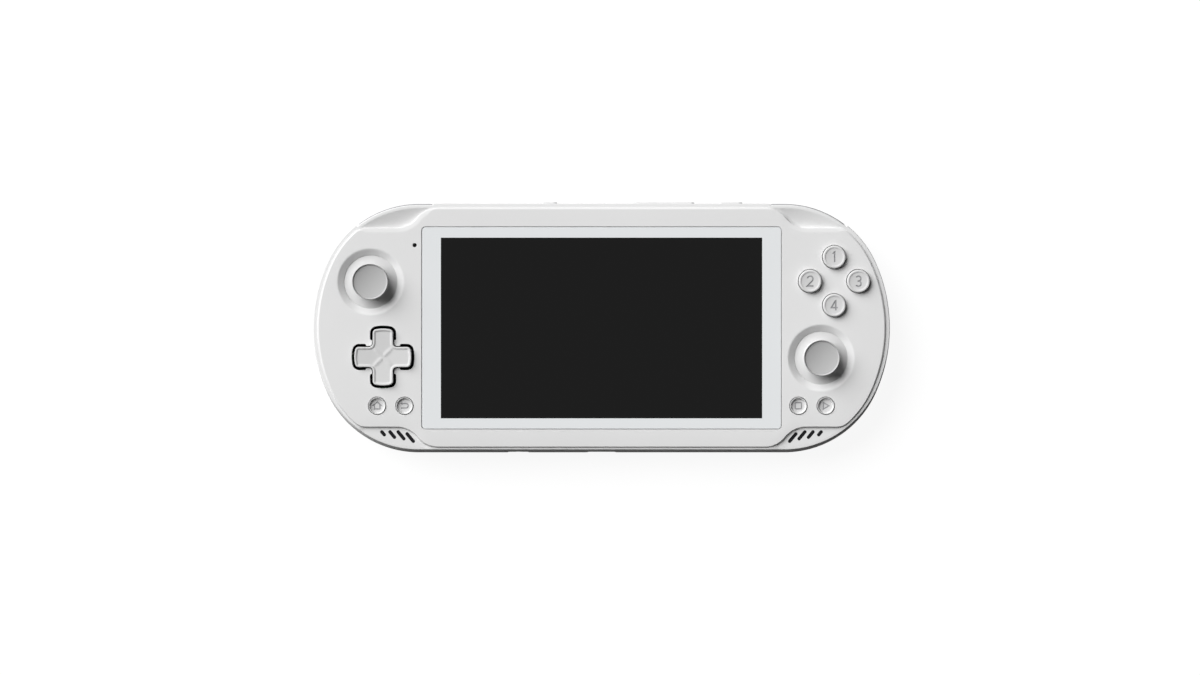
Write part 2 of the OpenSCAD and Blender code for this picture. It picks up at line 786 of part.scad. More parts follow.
module face_button() {
    top = face_z + face_rise;
    color("white")
    rotate_extrude()
        polygon([[0, flange_top - 1.1], [2.6, flange_top - 1.1], [2.6, flange_top - 0.9],
            [face_radius + 0.6, flange_top - 0.9], [face_radius + 0.6, flange_top],
            [face_radius, flange_top], [face_radius, top - 0.5],
            [face_radius - 0.15, top - 0.15], [face_radius - 0.45, top],
            [face_radius - 0.6, top - 0.02], [face_radius - 0.95, top - 0.17], [0, top - 0.2]]);
}

module menu_button() {
    top = face_z + menu_rise;
    color("white")
    rotate_extrude()
        polygon([[0, flange_top - 1], [2, flange_top - 1], [2, flange_top - 0.7],
            [menu_radius + 0.55, flange_top - 0.7], [menu_radius + 0.55, flange_top],
            [menu_radius, flange_top], [menu_radius, top - 0.3],
            [menu_radius - 0.04, top - 0.1], [menu_radius - 0.14, top],
            [menu_radius - 0.22, top - 0.04], [menu_radius - 0.8, top - 0.6], [0, top - 0.7]]);
}

module menu_switches() {
    color("black")
    for (p = menu_places)
        at(p.x, p.y, board_top) {
            translate([-2, -2, 0])
                cube([4, 4, 1]);
            translate([0, 0, 0.9])
                cylinder(h = flange_top - 1 - 0.6 - board_top - 0.9, r = 1);
        }
}

module edge_button(length) {
    face = half_height + edge_rise;
    color("white")
    union() {
        pill(length, edge_button_width, half_height - frame_inner - 0.5, face - 0.3, edge_button_height);
        pill(length - 0.6, edge_button_width - 0.6, face - 0.4, face, edge_button_height);
        pill(length + 1.4, edge_button_width + 1.4, half_height - frame_inner - 1.1,
            half_height - frame_inner - 0.3, edge_button_height);
    }
}

// Shoulder buttons of the right side

trigger_bottom = 1.3;
trigger_lug_z = 3.9;
arm_radius = 1.4;

module shoulder_arm(from, to) {
    at(pin_place.x, pin_place.y - 0.4, from)
        cube([4.5, 1.6, to - from]);
    at(pin_place.x, pin_place.y, from)
        cylinder(h = to - from, r = arm_radius);
}

module bumper() {
    top = shoulder_top - 0.1;
    bottom = shoulder_split + 0.15;
    color("gray")
    difference() {
        union() {
            bar(shoulder_run(0), [[3.6, bottom], [0.5, bottom], [0.1, bottom + 0.4], [0, bottom + 1.5],
                [0, top - 1.2], [0.15, top - 0.4], [0.6, top], [3.6, top]]);
            shoulder_arm(bottom, top);
        }
        at(pin_place.x, pin_place.y, bottom - 1)
            cylinder(h = 8, r = pin_radius + pin_fit);
    }
}

module trigger() {
    top = shoulder_split - 0.15;
    color("gray")
    difference() {
        union() {
            bar(shoulder_run(0), [[5, trigger_bottom + 1], [2.6, trigger_bottom],
                [1.6, trigger_bottom + 0.3], [0.7, trigger_bottom + 1.3],
                [0.2, top - 1], [0.25, top - 0.3], [0.6, top], [5, top]]);
            shoulder_arm(trigger_lug_z, top);
        }
        at(pin_place.x, pin_place.y, trigger_bottom - 1)
            cylinder(h = 8, r = pin_radius + pin_fit);
    }
}

module shoulder_pins() {
    color("silver")
    both_sides()
        at(pin_place.x, pin_place.y, wall + 0.4)
            cylinder(h = shoulder_top + 0.8 - wall - 0.4, r = pin_radius);
}

// Inside parts

module at_shoulder() {
    at(corner_x, corner_y)
        rotate([0, 0, 63])
            translate([corner_radius, 0, 0])
                children();
}

module shoulder_boards() {
    color("green")
    both_sides()
        at_shoulder()
            translate([-10.4, -4, wall])
                cube([1, 8, shoulder_top - wall - 1]);
}

module shoulder_switches() {
    color("black")
    both_sides()
        at_shoulder()
            for (z = [3, shoulder_split + 1.2])
                translate([-9.4, -2.5, z])
                    cube([2.4, 5, 2.2]);
}

module control_board(side) {
    stick = stick_places[side > 0 ? 1 : 0];
    board_start = screw_x + screw_boss;
    upper_edge = side > 0 ? half_height - 15.9 : stick.y + 0.85 * dome_radius;
    color("green")
    difference() {
        intersection() {
            slab(body_outline, 4.4, board_top - board_thickness, board_top);
            at(side > 0 ? board_start : -half_length, -screw_y, 0)
                cube([half_length - board_start, screw_y + upper_edge, face_z]);
        }
        at(stick.x, stick.y, 5)
            cylinder(h = 8, r = dome_radius + 0.7);
        at(side * end_screw.x, end_screw.y, 5)
            cylinder(h = 8, r = screw_boss + 0.3);
        for (p = board_posts)
            at(side * p.x, p.y, 5)
                cylinder(h = 8, r = 0.9);
    }
}

main_z = 7.2;
port_board_z = 6.3;
card_z = main_z + board_thickness + 0.75;
jack_radius = 3;

module board_screws() {
    color("silver") {
        both_sides()
            for (p = board_posts)
                at(p.x, p.y)
                    screw(board_top - board_thickness, 1.5, 0.7, 0.7, 3);
        for (p = main_posts)
            at(p.x, p.y, 2 * main_z + board_thickness)
                mirror([0, 0, 1])
                    screw(main_z, 1.5, 0.7, 0.7, 3.5);
        for (p = port_posts)
            at(p.x, p.y, 2 * port_board_z + board_thickness)
                mirror([0, 0, 1])
                    screw(port_board_z, 1.5, 0.7, 0.7, 3.5);
    }
}

module main_board() {
    color("green")
    difference() {
        translate([-main_half, main_edge - main_width, main_z])
            cube([2 * main_half, main_width, board_thickness]);
        for (p = main_posts)
            at(p.x, p.y, main_z - 1)
                cylinder(h = 4, r = 0.9);
    }
}

shield_size = [34, 22, 2];
spreader_size = [60, 26, 0.4];

module main_shield() {
    color("silver")
    translate([-shield_size.x / 2, main_edge - 5 - shield_size.y, main_z + board_thickness])
        cube(shield_size);
}

module heat_spreader() {
    color("silver")
    translate([-shield_size.x / 2, main_edge - 3 - spreader_size.y,
        main_z + board_thickness + shield_size.z])
        cube(spreader_size);
}

// The battery fills the room between the port board and the lower posts of the main board
battery_low = port_edge + port_board_width + 1.4;
battery_high = main_edge - 33.5;

module battery() {
    color("dimgray")
    at(0, (battery_low + battery_high) / 2, wall)
        slab(rounded_rectangle(2 * main_half - 6, battery_high - battery_low, 2), 0,
            0, main_z - 0.2 - wall);
}

module port_board() {
    color("green")
    difference() {
        translate([port_posts[0].x - 5, port_edge, port_board_z])
            cube([port_posts[1].x - port_posts[0].x + 10, port_board_width, board_thickness]);
        for (p = port_posts)
            at(p.x, p.y, port_board_z - 1)
                cylinder(h = 4, r = 0.9);
    }
}

module usb_shell() {
    color("silver")
    difference() {
        pill(port_width, port_thickness, -half_height + 0.3, -half_height + 8, port_height);
        pill(port_width - 0.6, port_thickness - 0.6, -half_height - 1, -half_height + 7, port_height);
    }
}

module usb_tongue() {
    color("black")
    translate([-3.35, -half_height + 1.6, port_height - 0.35])
        cube([6.7, 5.4, 0.7]);
}

module headphone_jack() {
    color("black")
    difference() {
        union() {
            at(0, -half_height + 0.4, port_height)
                rotate([-90, 0, 0])
                    cylinder(h = 3, r = jack_radius);
            translate([-3, -half_height + 3, port_board_z + board_thickness])
                cube([6, 12, 2 * (port_height - port_board_z - board_thickness) + 1]);
        }
        at(0, -half_height - 1, port_height)
            rotate([-90, 0, 0])
                cylinder(h = 15, r = jack_bore);
    }
}

card_width = 11;
card_depth = 15;

module card_socket() {
    card_end = half_height - frame_inner - 0.4 - card_depth;
    color("silver")
    difference() {
        translate([-card_width / 2 - 1.5, card_end - 1.5, main_z + board_thickness])
            cube([card_width + 3, card_depth + 1.5, 1.5]);
        translate([-card_width / 2 - 0.1, card_end, main_z + board_thickness + 0.3])
            cube([card_width + 0.2, card_depth + 2, 0.9]);
    }
}

module edge_switches() {
    color("black")
    for (x = [volume_x - 6.5, volume_x + 6.5, power_x, -option_x])
        translate([x - 2, half_height - frame_inner - 4.3, main_z + board_thickness])
            cube([4, 2.6, 2.6]);
}

speaker_start = screw_x + screw_boss + 0.4;
speaker_length = 15.3;

module speaker() {
    color("black")
    intersection() {
        slab(body_outline, frame_inner + 0.4, ledge_z - 3.6, ledge_z - 0.3);
        translate([speaker_start, -half_height, 0])
            cube([speaker_length, ledge_width + 2.2, face_z]);
    }
}

module speaker_gauzes() {
    color("black")
    both_sides()
        intersection() {
            slab(body_outline, frame_inner + 0.6, ledge_z - 0.3, ledge_z);
            translate([speaker_start, -half_height, 0])
                cube([speaker_length - 0.5, ledge_width + 2, face_z]);
        }
}

module microphone() {
    color("black")
    at(mic_place.x, mic_place.y, rim_z - 1.2)
        cylinder(h = 1.2, r = mic_radius + 0.87);
}

module at_stick(i) {
    at(stick_places[i].x, stick_places[i].y, pivot_height)
        children();
}

module at_dpad() {
    at(-dpad_x, -dpad_y, dpad_pivot)
        children();
}

front_panel();
middle_frame();
back_cover();
housing_screws();
display_lens();
display_panel();
at_stick(0) stick_base();  // left_stick_base
at_stick(0) stick_gimbal();  // left_stick_gimbal
at_stick(0) stick_lever();  // left_stick_lever
at_stick(0) stick_dome();  // left_stick_dome
at_stick(0) stick_cap();  // left_stick_cap
at_stick(1) stick_base();  // right_stick_base
at_stick(1) stick_gimbal();  // right_stick_gimbal
at_stick(1) stick_lever();  // right_stick_lever
at_stick(1) stick_dome();  // right_stick_dome
at_stick(1) stick_cap();  // right_stick_cap
at_dpad() dpad();
at_dpad() dpad_ball();
at_dpad() dpad_post();
dpad_mat();
at(face_places[0].x, face_places[0].y) face_button();  // button_top
at(face_places[1].x, face_places[1].y) face_button();  // button_left
at(face_places[2].x, face_places[2].y) face_button();  // button_right
at(face_places[3].x, face_places[3].y) face_button();  // button_bottom
face_mat();
at(menu_places[0].x, menu_places[0].y) menu_button();  // menu_home
at(menu_places[1].x, menu_places[1].y) menu_button();  // menu_back
at(menu_places[2].x, menu_places[2].y) menu_button();  // menu_square
at(menu_places[3].x, menu_places[3].y) menu_button();  // menu_start
menu_switches();
mirror([1, 0, 0]) bumper();  // left_bumper
bumper();  // right_bumper
mirror([1, 0, 0]) trigger();  // left_trigger
trigger();  // right_trigger
shoulder_pins();
shoulder_boards();
shoulder_switches();
at(volume_x, 0) edge_button(volume_length);  // volume_rocker
at(power_x, 0) edge_button(power_length);  // power_button
at(-option_x, 0) edge_button(option_length);  // option_button
edge_switches();
control_board(-1);  // left_board
control_board(1);  // right_board
board_screws();
main_board();
main_shield();
heat_spreader();
battery();
port_board();
usb_shell();
usb_tongue();
at(-jack_x, 0) headphone_jack();
at(-card_x, 0) card_socket();
mirror([1, 0, 0]) speaker();  // left_speaker
speaker();  // right_speaker
speaker_gauzes();
microphone();
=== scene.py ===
"""Looks of a handheld game console: a white shell, a wide display, two thumb sticks, a D-pad and buttons.

Shapes are worked out in millimetres, in the frame of the CAD model, and go into their meshes in metres.
An outline is an array of stations, one row each: x, y and the outward direction there.
"""
import json
import math

import bmesh
import bpy
import numpy as np
from mathutils.geometry import delaunay_2d_cdt
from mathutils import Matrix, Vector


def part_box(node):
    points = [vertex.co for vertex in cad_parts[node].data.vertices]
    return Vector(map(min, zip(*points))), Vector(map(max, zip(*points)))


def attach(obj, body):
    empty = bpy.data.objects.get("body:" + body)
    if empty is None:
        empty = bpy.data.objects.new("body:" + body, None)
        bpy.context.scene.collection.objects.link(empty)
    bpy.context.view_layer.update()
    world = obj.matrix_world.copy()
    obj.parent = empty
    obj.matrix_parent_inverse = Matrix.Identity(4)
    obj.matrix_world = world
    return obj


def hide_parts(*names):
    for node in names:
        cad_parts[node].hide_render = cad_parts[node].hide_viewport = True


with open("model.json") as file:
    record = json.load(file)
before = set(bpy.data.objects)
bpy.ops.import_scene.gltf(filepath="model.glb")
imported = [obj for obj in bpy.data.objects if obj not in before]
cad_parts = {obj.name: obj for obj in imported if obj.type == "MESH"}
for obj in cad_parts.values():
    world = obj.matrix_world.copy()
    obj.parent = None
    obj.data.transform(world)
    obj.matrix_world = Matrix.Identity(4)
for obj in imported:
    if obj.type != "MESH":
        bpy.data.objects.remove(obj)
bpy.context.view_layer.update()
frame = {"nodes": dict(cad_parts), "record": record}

metre = 1000.0


def node_box(name):
    """Lowest and highest corner of a CAD node, in millimetres."""
    low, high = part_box(name)
    return np.array(low) * metre, np.array(high) * metre


def node_middle(name):
    """Middle of a CAD node's box, in millimetres."""
    low, high = node_box(name)
    return (low + high) / 2


# Sizes of the housing
frame_low, frame_high = node_box("middle_frame")
half_length = frame_high[0]
half_height = -frame_low[1]
split_z = frame_low[2]
face_z = node_box("front_panel")[1][2]
crest_z = face_z - 0.6
panel_z = face_z - 1.6
side_z = 7.5
end_radius = 55.0
corner_radius = 34.3
rim_width = 1.6
rim_round = (0.32, 1.15)
rim_drop = (0.4, 3.4)
rim_power = (1.0, 1.6)
rim_slope = 0.09
back_round = 5.5
face_round = (0.42, 1.5)
face_drop = (0.2, 0.25)
ledge_level = 34.4
ledge_under = 11.9
s_start = 56.3
s_radius = 9.0
nose_radius = 6.0
scoop_slope = (0.15, 0.26)
crest_width = 0.8
seam = 0.06
# The corner ledges begin over a short distance, and the bottom ones lie a little lower than the rim
ledge_blend = 1.2
ledge_sink = 0.3
# Along the bottom the edge of the face is wider and deeper by these shares
bottom_wider = 0.1
bottom_deeper = 3.2

end_x = half_length - end_radius
corner_y = half_height - corner_radius
corner_x = end_x + math.sqrt((end_radius - corner_radius) ** 2 - corner_y ** 2)
join_angle = math.degrees(math.atan2(corner_y, corner_x - end_x))
face_level = half_height - rim_width
s_angle = math.degrees(math.acos(1 - (face_level - ledge_level) / (2 * s_radius)))
s_end = s_start + 2 * s_radius * math.sin(math.radians(s_angle))
nose_y = ledge_level - nose_radius
nose_x = corner_x + math.sqrt((corner_radius - rim_width - nose_radius) ** 2 - (nose_y - corner_y) ** 2)
nose_angle = math.degrees(math.atan2(nose_y - corner_y, nose_x - corner_x))


# Outlines

def arc(centre, radius, start, stop, step=1.5):
    """Stations on an arc: centre plus radius times the direction at each angle, which also points outward.

    A negative radius puts the points on the far side of the centre, so the line bends the other way.
    """
    count = max(2, int(math.ceil(abs(stop - start) / step)) + 1)
    turn = np.radians(np.linspace(start, stop, count))
    outward = np.stack([np.cos(turn), np.sin(turn)], axis=1)
    return np.hstack([np.asarray(centre, float) + radius * outward, outward])


def resample(line, count):
    """The same line with evenly spaced stations: each column is interpolated over the length so far."""
    steps = np.hypot(*np.diff(line[:, :2], axis=0).T)
    length = np.concatenate([[0], np.cumsum(steps)])
    places = np.linspace(0, length[-1], count)
    even = np.stack([np.interp(places, length, column) for column in line.T], axis=1)
    even[:, 2:] /= np.hypot(even[:, 2], even[:, 3])[:, None]
    return even


def distinct(line):
    """The line without stations that repeat the one before, the last counting as before the first."""
    gap = np.hypot(*(line[:, :2] - np.roll(line[:, :2], 1, axis=0)).T)
    return line[gap > 1e-6]


def four_fold(quarter):
    """A closed line from the quarter between the +X and +Y axes, mirrored in both."""
    left = quarter[::-1] * [-1, 1, -1, 1]
    upper = np.vstack([quarter, left])
    return np.vstack([upper, upper[::-1] * [1, -1, 1, -1]])


def moved(line, place):
    """The line shifted to a place in the plane."""
    return line + [place[0], place[1], 0, 0]


def closer(line, step=0.2):
    """A closed line with more stations, none further than a step from the next."""
    following = np.roll(line, -1, axis=0) - line
    counts = np.maximum(1, np.ceil(np.hypot(*following[:, :2].T) / step)).astype(int)
    start = np.repeat(np.arange(len(line)), counts)
    share = (np.arange(counts.sum()) - (np.cumsum(counts) - counts)[start]) / counts[start]
    return line[start] + share[:, None] * following[start]


def circle(place, radius, count=96):
    """A closed ring of stations about a place."""
    turn = np.linspace(0, 2 * math.pi, count, endpoint=False)
    outward = np.stack([np.cos(turn), np.sin(turn)], axis=1)
    return np.hstack([np.asarray(place[:2]) + radius * outward, outward])


def rounded_rectangle(width, height, radius, step=9):
    """A closed line of four corner arcs."""
    return distinct(four_fold(arc((width / 2 - radius, height / 2 - radius), radius, 0, 90, step)))


def cross_outline(span, arm, corner=1.3, fillet=1.3):
    """The D-pad's line: arm ends that bulge a little, rounded corners and filleted inner corners."""
    bulge = 0.58 * span
    middle = span / 2 - bulge
    side = arm / 2 - corner
    tip = middle + math.sqrt((bulge - corner) ** 2 - side ** 2)
    turn = math.degrees(math.atan2(side, tip - middle))
    inner = arm / 2 + fillet
    return distinct(four_fold(np.vstack([
        arc((middle, 0), bulge, 0, turn),
        arc((tip, side), corner, turn, 90, 9),
        arc((inner, inner), -fillet, 90, 0, 9),
        arc((side, tip), corner, 0, 90 - turn, 9),
        arc((0, middle), bulge, 90 - turn, 90),
    ])))


def paired_outlines(corner_count=110):
    """The body's and the raised face's closed lines, station for station.

    Both follow the end and corner arcs; between the nose and the S-shaped line their lengths are shared out
    evenly.
    """
    ends = [arc((end_x, 0), end_radius - inset, 0, join_angle, 0.75) for inset in (0, rim_width)]
    bends = [arc((corner_x, corner_y), corner_radius - inset, join_angle, nose_angle, 0.75)[1:]
             for inset in (0, rim_width)]
    body_run = np.vstack([
        arc((corner_x, corner_y), corner_radius, nose_angle, 90, 0.5),
        [[s_start, half_height, 0, 1]],
    ])
    face_run = np.vstack([
        arc((nose_x, nose_y), nose_radius, nose_angle, 90, 1),
        arc((s_end, ledge_level + s_radius), -s_radius, 90, 90 - s_angle, 1),
        arc((s_start, face_level - s_radius), s_radius, 90 - s_angle, 90, 1)[1:],
    ])
    lines = []
    for end, bend, run in zip(ends, bends, (body_run, face_run)):
        lines.append(four_fold(np.vstack([end, bend, resample(run, corner_count)[1:]])))
    once = np.hypot(*(lines[0][:, :2] - np.roll(lines[0][:, :2], 1, axis=0)).T) > 1e-6
    return lines[0][once], lines[1][once]


def eased(share):
    """A share from 0 to 1 with level ends: three times its square less twice its cube."""
    share = np.clip(share, 0, 1)
    return share * share * (3 - 2 * share)


def between(pair, share):
    """Values between the two of a pair."""
    return pair[0] + (pair[1] - pair[0]) * share


body_line, face_line = paired_outlines()
# How much of a corner's ledge each station has, from its distance to the raised face
corner_ledge = eased((np.hypot(*(body_line - face_line)[:, :2].T) - rim_width) / ledge_blend)
# The top corners are hollows, and the bottom corners are level
hollow = corner_ledge * (body_line[:, 1] > 0)
ledge_drop = ledge_sink * corner_ledge * (body_line[:, 1] < 0)
# How steep the hollow is there: most at the S-shaped line, and less and less to the nose
hollow_ends = np.abs(body_line[hollow > 0, 0])
hollow_run = np.clip((hollow_ends.max() - np.abs(body_line[:, 0])) / np.ptp(hollow_ends), 0, 1)
hollow_slope = hollow * between(scoop_slope, hollow_run)
# How much each station looks to the bottom edge
lower = eased(-body_line[:, 3])


# Surfaces: each is a pair of points, one row each, and faces as tuples of point numbers

# Edges where two faces meet at more than this angle are sharp
sharp_angle = math.radians(32)


def grid(points, around=True, over=False):
    """Quads between the neighbouring rows and columns of an array of points.

    The last column may join the first, around, and the last row the first, over.
    """
    rows, columns = points.shape[:2]
    row = np.arange(rows if over else rows - 1)[:, None]
    column = np.arange(columns if around else columns - 1)[None, :]
    next_row = (row + 1) % rows
    next_column = (column + 1) % columns
    corners = [row * columns + column, row * columns + next_column,
               next_row * columns + next_column, next_row * columns + column]
    faces = np.stack(np.broadcast_arrays(*corners), axis=-1).reshape(-1, 4)
    return points.reshape(-1, 3), [tuple(face) for face in faces.tolist()]


def sweep(line, profile):
    """A profile of (inset, height) carried along a closed line: in by the inset and up to the height."""
    profile = np.asarray(profile, float)
    flat = line[None, :, :2] - profile[:, None, :1] * line[None, :, 2:]
    height = np.broadcast_to(profile[:, None, 1:], flat.shape[:2] + (1,))
    return grid(np.concatenate([flat, height], axis=2))


def rows_along(line, sections):
    """Rows of points at insets and heights that may differ from station to station."""
    rows = []
    for inset, height in sections:
        inset = np.broadcast_to(inset, len(line))[:, None]
        rows.append(np.column_stack([line[:, :2] - inset * line[:, 2:], np.broadcast_to(height, len(line))]))
    return np.stack(rows)


def revolve(profile, place, count=96, over=False):
    """A profile of (radius, height) turned once about the upright axis at a place."""
    profile = np.asarray(profile, float)
    turn = np.linspace(0, 2 * math.pi, count, endpoint=False)
    radius = profile[:, None, 0]
    height = np.broadcast_to(profile[:, None, 1], (len(profile), count))
    points = np.stack([place[0] + radius * np.cos(turn), place[1] + radius * np.sin(turn), height], axis=2)
    return grid(points, True, over)


def within(points, loop):
    """Which points lie inside a closed loop: a ray to the right crosses it an odd number of times."""
    a = loop[None, :, :2]
    b = np.roll(loop[:, :2], -1, axis=0)[None]
    x, y = points[:, None, 0], points[:, None, 1]
    spans = (a[..., 1] > y) != (b[..., 1] > y)
    rise = np.where(spans, b[..., 1] - a[..., 1], 1)
    crossing = a[..., 0] + (y - a[..., 1]) * (b[..., 0] - a[..., 0]) / rise
    return (spans & (x < crossing)).sum(axis=1) % 2 == 1


def fill(height, outer, holes=(), inner=()):
    """Triangles inside one loop and outside others, that keep the loops as edges and use the inner points.

    The height is a number, or a function of the points' x and y.
    """
    loops = [outer, *holes]
    points = [loop[:, :2] for loop in loops]
    edges = []
    first = 0
    for loop in loops:
        turn = np.arange(len(loop))
        edges += (np.stack([turn, np.roll(turn, -1)], axis=1) + first).tolist()
        first += len(loop)
    if len(inner):
        points.append(inner)
    found = delaunay_2d_cdt(np.vstack(points).tolist(), edges, [], 0, 1e-6)
    flat = np.array([tuple(p) for p in found[0]])
    triangles = np.array(found[2])
    middles = flat[triangles].mean(axis=1)
    kept = within(middles, outer)
    for hole in holes:
        kept &= ~within(middles, hole)
    z = height(flat[:, 0], flat[:, 1]) if callable(height) else np.full(len(flat), height)
    return np.column_stack([flat, z]), [tuple(face) for face in triangles[kept].tolist()]


def inset_line(line, inset):
    """The line moved in by an inset."""
    shifted = line.copy()
    shifted[:, :2] -= inset * line[:, 2:]
    return shifted


def quarter_round(width, drop, top, steps):
    """A quarter of an ellipse from upright to level, as (inset, height), that ends at the top."""
    turn = np.linspace(0, math.pi / 2, steps + 1)
    return np.stack([width * (1 - np.cos(turn)), top - drop * (1 - np.sin(turn))], axis=1)


def turned_to_edge(surface):
    """A surface modelled lying flat, stood up so that its height points to the top edge: y becomes z."""
    points, faces = surface
    return np.stack([points[:, 0], points[:, 2], points[:, 1]], axis=1), faces


def mirrored(surface):
    """The surface on the other side of the middle plane."""
    points, faces = surface
    return points * [-1, 1, 1], [face[::-1] for face in faces]


def both_sides(surfaces):
    """The surfaces, each followed by its mirror image."""
    return [side for surface in surfaces for side in (surface, mirrored(surface))]


def piece_mesh(name, surfaces):
    """One mesh of several surfaces, welded where they meet, with outward faces."""
    points = np.vstack([surface[0] for surface in surfaces]) / metre
    faces = []
    first = 0
    for surface in surfaces:
        faces += [tuple(corner + first for corner in face) for face in surface[1]]
        first += len(surface[0])
    mesh = bpy.data.meshes.new(name)
    mesh.from_pydata(points, [], faces)
    shape = bmesh.new()
    shape.from_mesh(mesh)
    bmesh.ops.remove_doubles(shape, verts=shape.verts, dist=1e-6)
    bmesh.ops.dissolve_degenerate(shape, edges=shape.edges, dist=1e-8)
    bmesh.ops.recalc_face_normals(shape, faces=shape.faces)
    shape.to_mesh(mesh)
    shape.free()
    finish_shading(mesh)
    return mesh


def finish_shading(mesh):
    """Smooth faces with sharp edges."""
    mesh.polygons.foreach_set("use_smooth", np.ones(len(mesh.polygons), bool))
    mesh.set_sharp_from_angle(angle=sharp_angle)
    mesh.update()


def add_piece(name, mesh, slot, body, node=None):
    """An object at the origin that rides a body, takes a finish and may stand for a CAD node."""
    piece = bpy.data.objects.new(name, mesh)
    bpy.context.scene.collection.objects.link(piece)
    mesh.materials.clear()
    mesh.materials.append(finishes[slot])
    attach(piece, body)
    if node:
        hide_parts(node)


def cut(mesh, cutters):
    """The mesh with closed shapes taken out of it."""
    piece = bpy.data.objects.new("cut_piece", mesh)
    tool = bpy.data.objects.new("cut_tool", piece_mesh("cut_tool", cutters))
    for part in (piece, tool):
        bpy.context.scene.collection.objects.link(part)
    modifier = piece.modifiers.new("cut", "BOOLEAN")
    modifier.operation = "DIFFERENCE"
    modifier.solver = "EXACT"
    modifier.object = tool
    seen = piece.evaluated_get(bpy.context.evaluated_depsgraph_get())
    result = bpy.data.meshes.new_from_object(seen)
    result.name = mesh.name
    for part in (piece, tool):
        bpy.data.objects.remove(part)
    finish_shading(result)
    return result


# Finishes, by the names of their slots

finishes = {}


class Shade:
    """A socket of a material's nodes; arithmetic on it adds Math nodes."""

    def __init__(self, tree, socket=None):
        self.tree = tree
        self.socket = socket

    def add(self, kind, inputs=None, output=0, **settings):
        """A node of a type: its settings are set first, then the values or links of its sockets."""
        node = self.tree.nodes.new(kind)
        for key, value in settings.items():
            setattr(node, key, value)
        for key, value in (inputs or {}).items():
            if isinstance(value, Shade):
                self.tree.links.new(value.socket, node.inputs[key])
            else:
                node.inputs[key].default_value = value
        return Shade(self.tree, node.outputs[output])

    def calculate(self, operation, *values):
        """A Math node over values and sockets."""
        return self.add("ShaderNodeMath", dict(enumerate(values)), operation=operation)

    def __add__(self, other):
        return self.calculate("ADD", self, other)

    def __sub__(self, other):
        return self.calculate("SUBTRACT", self, other)

    def __rsub__(self, other):
        return self.calculate("SUBTRACT", other, self)

    def __mul__(self, other):
        return self.calculate("MULTIPLY", self, other)

    def __gt__(self, other):
        return self.calculate("GREATER_THAN", self, other)

    def __lt__(self, other):
        return self.calculate("LESS_THAN", self, other)

    __radd__ = __add__
    __rmul__ = __mul__


def new_material(name):
    """Adds an empty material to the finishes; gives a shade to add nodes to."""
    material = bpy.data.materials.new(name)
    finishes[name] = material
    material.use_nodes = True
    material.node_tree.nodes.clear()
    return Shade(material.node_tree)


def close_material(shade, surface):
    """Puts a shader on the material's surface."""
    output = shade.tree.nodes.new("ShaderNodeOutputMaterial")
    shade.tree.links.new(surface.socket, output.inputs["Surface"])


def noise(shade, place, size, detail=2.0):
    """A soft random value from 0 to 1 with bumps of a size in millimetres."""
    return shade.add("ShaderNodeTexNoise", {"Vector": place, "Scale": metre / size, "Detail": detail})


def tinted(shade, colour, other, factor):
    """A colour that turns into another by a factor."""
    return shade.add("ShaderNodeMix", {0: factor, 6: colour, 7: other}, output=2, data_type="RGBA")


def bumped(shade, height, depth):
    """A surface direction from a height of 0 to 1, as deep as a depth in millimetres."""
    return shade.add("ShaderNodeBump", {"Height": height, "Strength": 1.0, "Distance": depth / metre})


def moulded(name, colour, roughness, grain=0.16, depth=0.003, specular=0.5, drift=0.03):
    """Moulded plastic or rubber: spark-eroded grain, slightly uneven gloss and a faint drift of colour."""
    shade = new_material(name)
    place = shade.add("ShaderNodeTexCoord", output="Object")
    fine = noise(shade, place, grain)
    broad = noise(shade, place, 35.0)
    patches = noise(shade, place, 4.0)
    base = tinted(shade, colour_of(colour, 1 - drift), colour_of(colour, 1 + drift), broad)
    surface = shade.add("ShaderNodeBsdfPrincipled", {
        "Base Color": base,
        "Roughness": roughness - 0.05 + 0.06 * fine + 0.04 * patches,
        "Normal": bumped(shade, fine, depth),
        "Specular IOR Level": specular,
    })
    close_material(shade, surface)


def colour_of(colour, share=1.0):
    """A colour with a share of its brightness."""
    return tuple(min(1.0, part * share) for part in colour) + (1.0,)


def metal(name, colour, roughness, lines=False):
    """Bare metal with fine scratches, drawn along X where it is rolled or brushed."""
    shade = new_material(name)
    place = shade.add("ShaderNodeTexCoord", output="Object")
    stretch = (0.06, 1.0, 1.0) if lines else (1.0, 1.0, 1.0)
    drawn = shade.add("ShaderNodeMapping", {"Vector": place, "Scale": stretch})
    scratch = noise(shade, drawn, 0.12, 4.0)
    patches = noise(shade, place, 3.0)
    surface = shade.add("ShaderNodeBsdfPrincipled", {
        "Base Color": tinted(shade, colour_of(colour, 0.9), colour_of(colour, 1.06), patches),
        "Metallic": 1.0,
        "Roughness": roughness - 0.08 + 0.16 * scratch,
        "Normal": bumped(shade, scratch, 0.002),
    })
    close_material(shade, surface)


def circuit_board():
    """Green solder mask over a pattern of copper tracks and bare pads."""
    shade = new_material("board_green")
    place = shade.add("ShaderNodeTexCoord", output="Object")
    tracks = shade.add("ShaderNodeTexVoronoi", {"Vector": place, "Scale": metre / 2.2},
                       distance="MANHATTAN", feature="F1")
    dots = shade.add("ShaderNodeTexVoronoi", {"Vector": place, "Scale": metre / 1.1}, feature="F1")
    raised = tracks.calculate("PINGPONG", tracks * 4.0, 1.0) > 0.55
    pad = dots < 0.16
    mask = tinted(shade, (0.012, 0.07, 0.03, 1), (0.02, 0.13, 0.05, 1), raised)
    surface = shade.add("ShaderNodeBsdfPrincipled", {
        "Base Color": tinted(shade, mask, (0.6, 0.58, 0.5, 1), pad),
        "Metallic": pad,
        "Roughness": 0.42 - 0.1 * raised,
        "Normal": bumped(shade, raised, 0.02),
    })
    close_material(shade, surface)


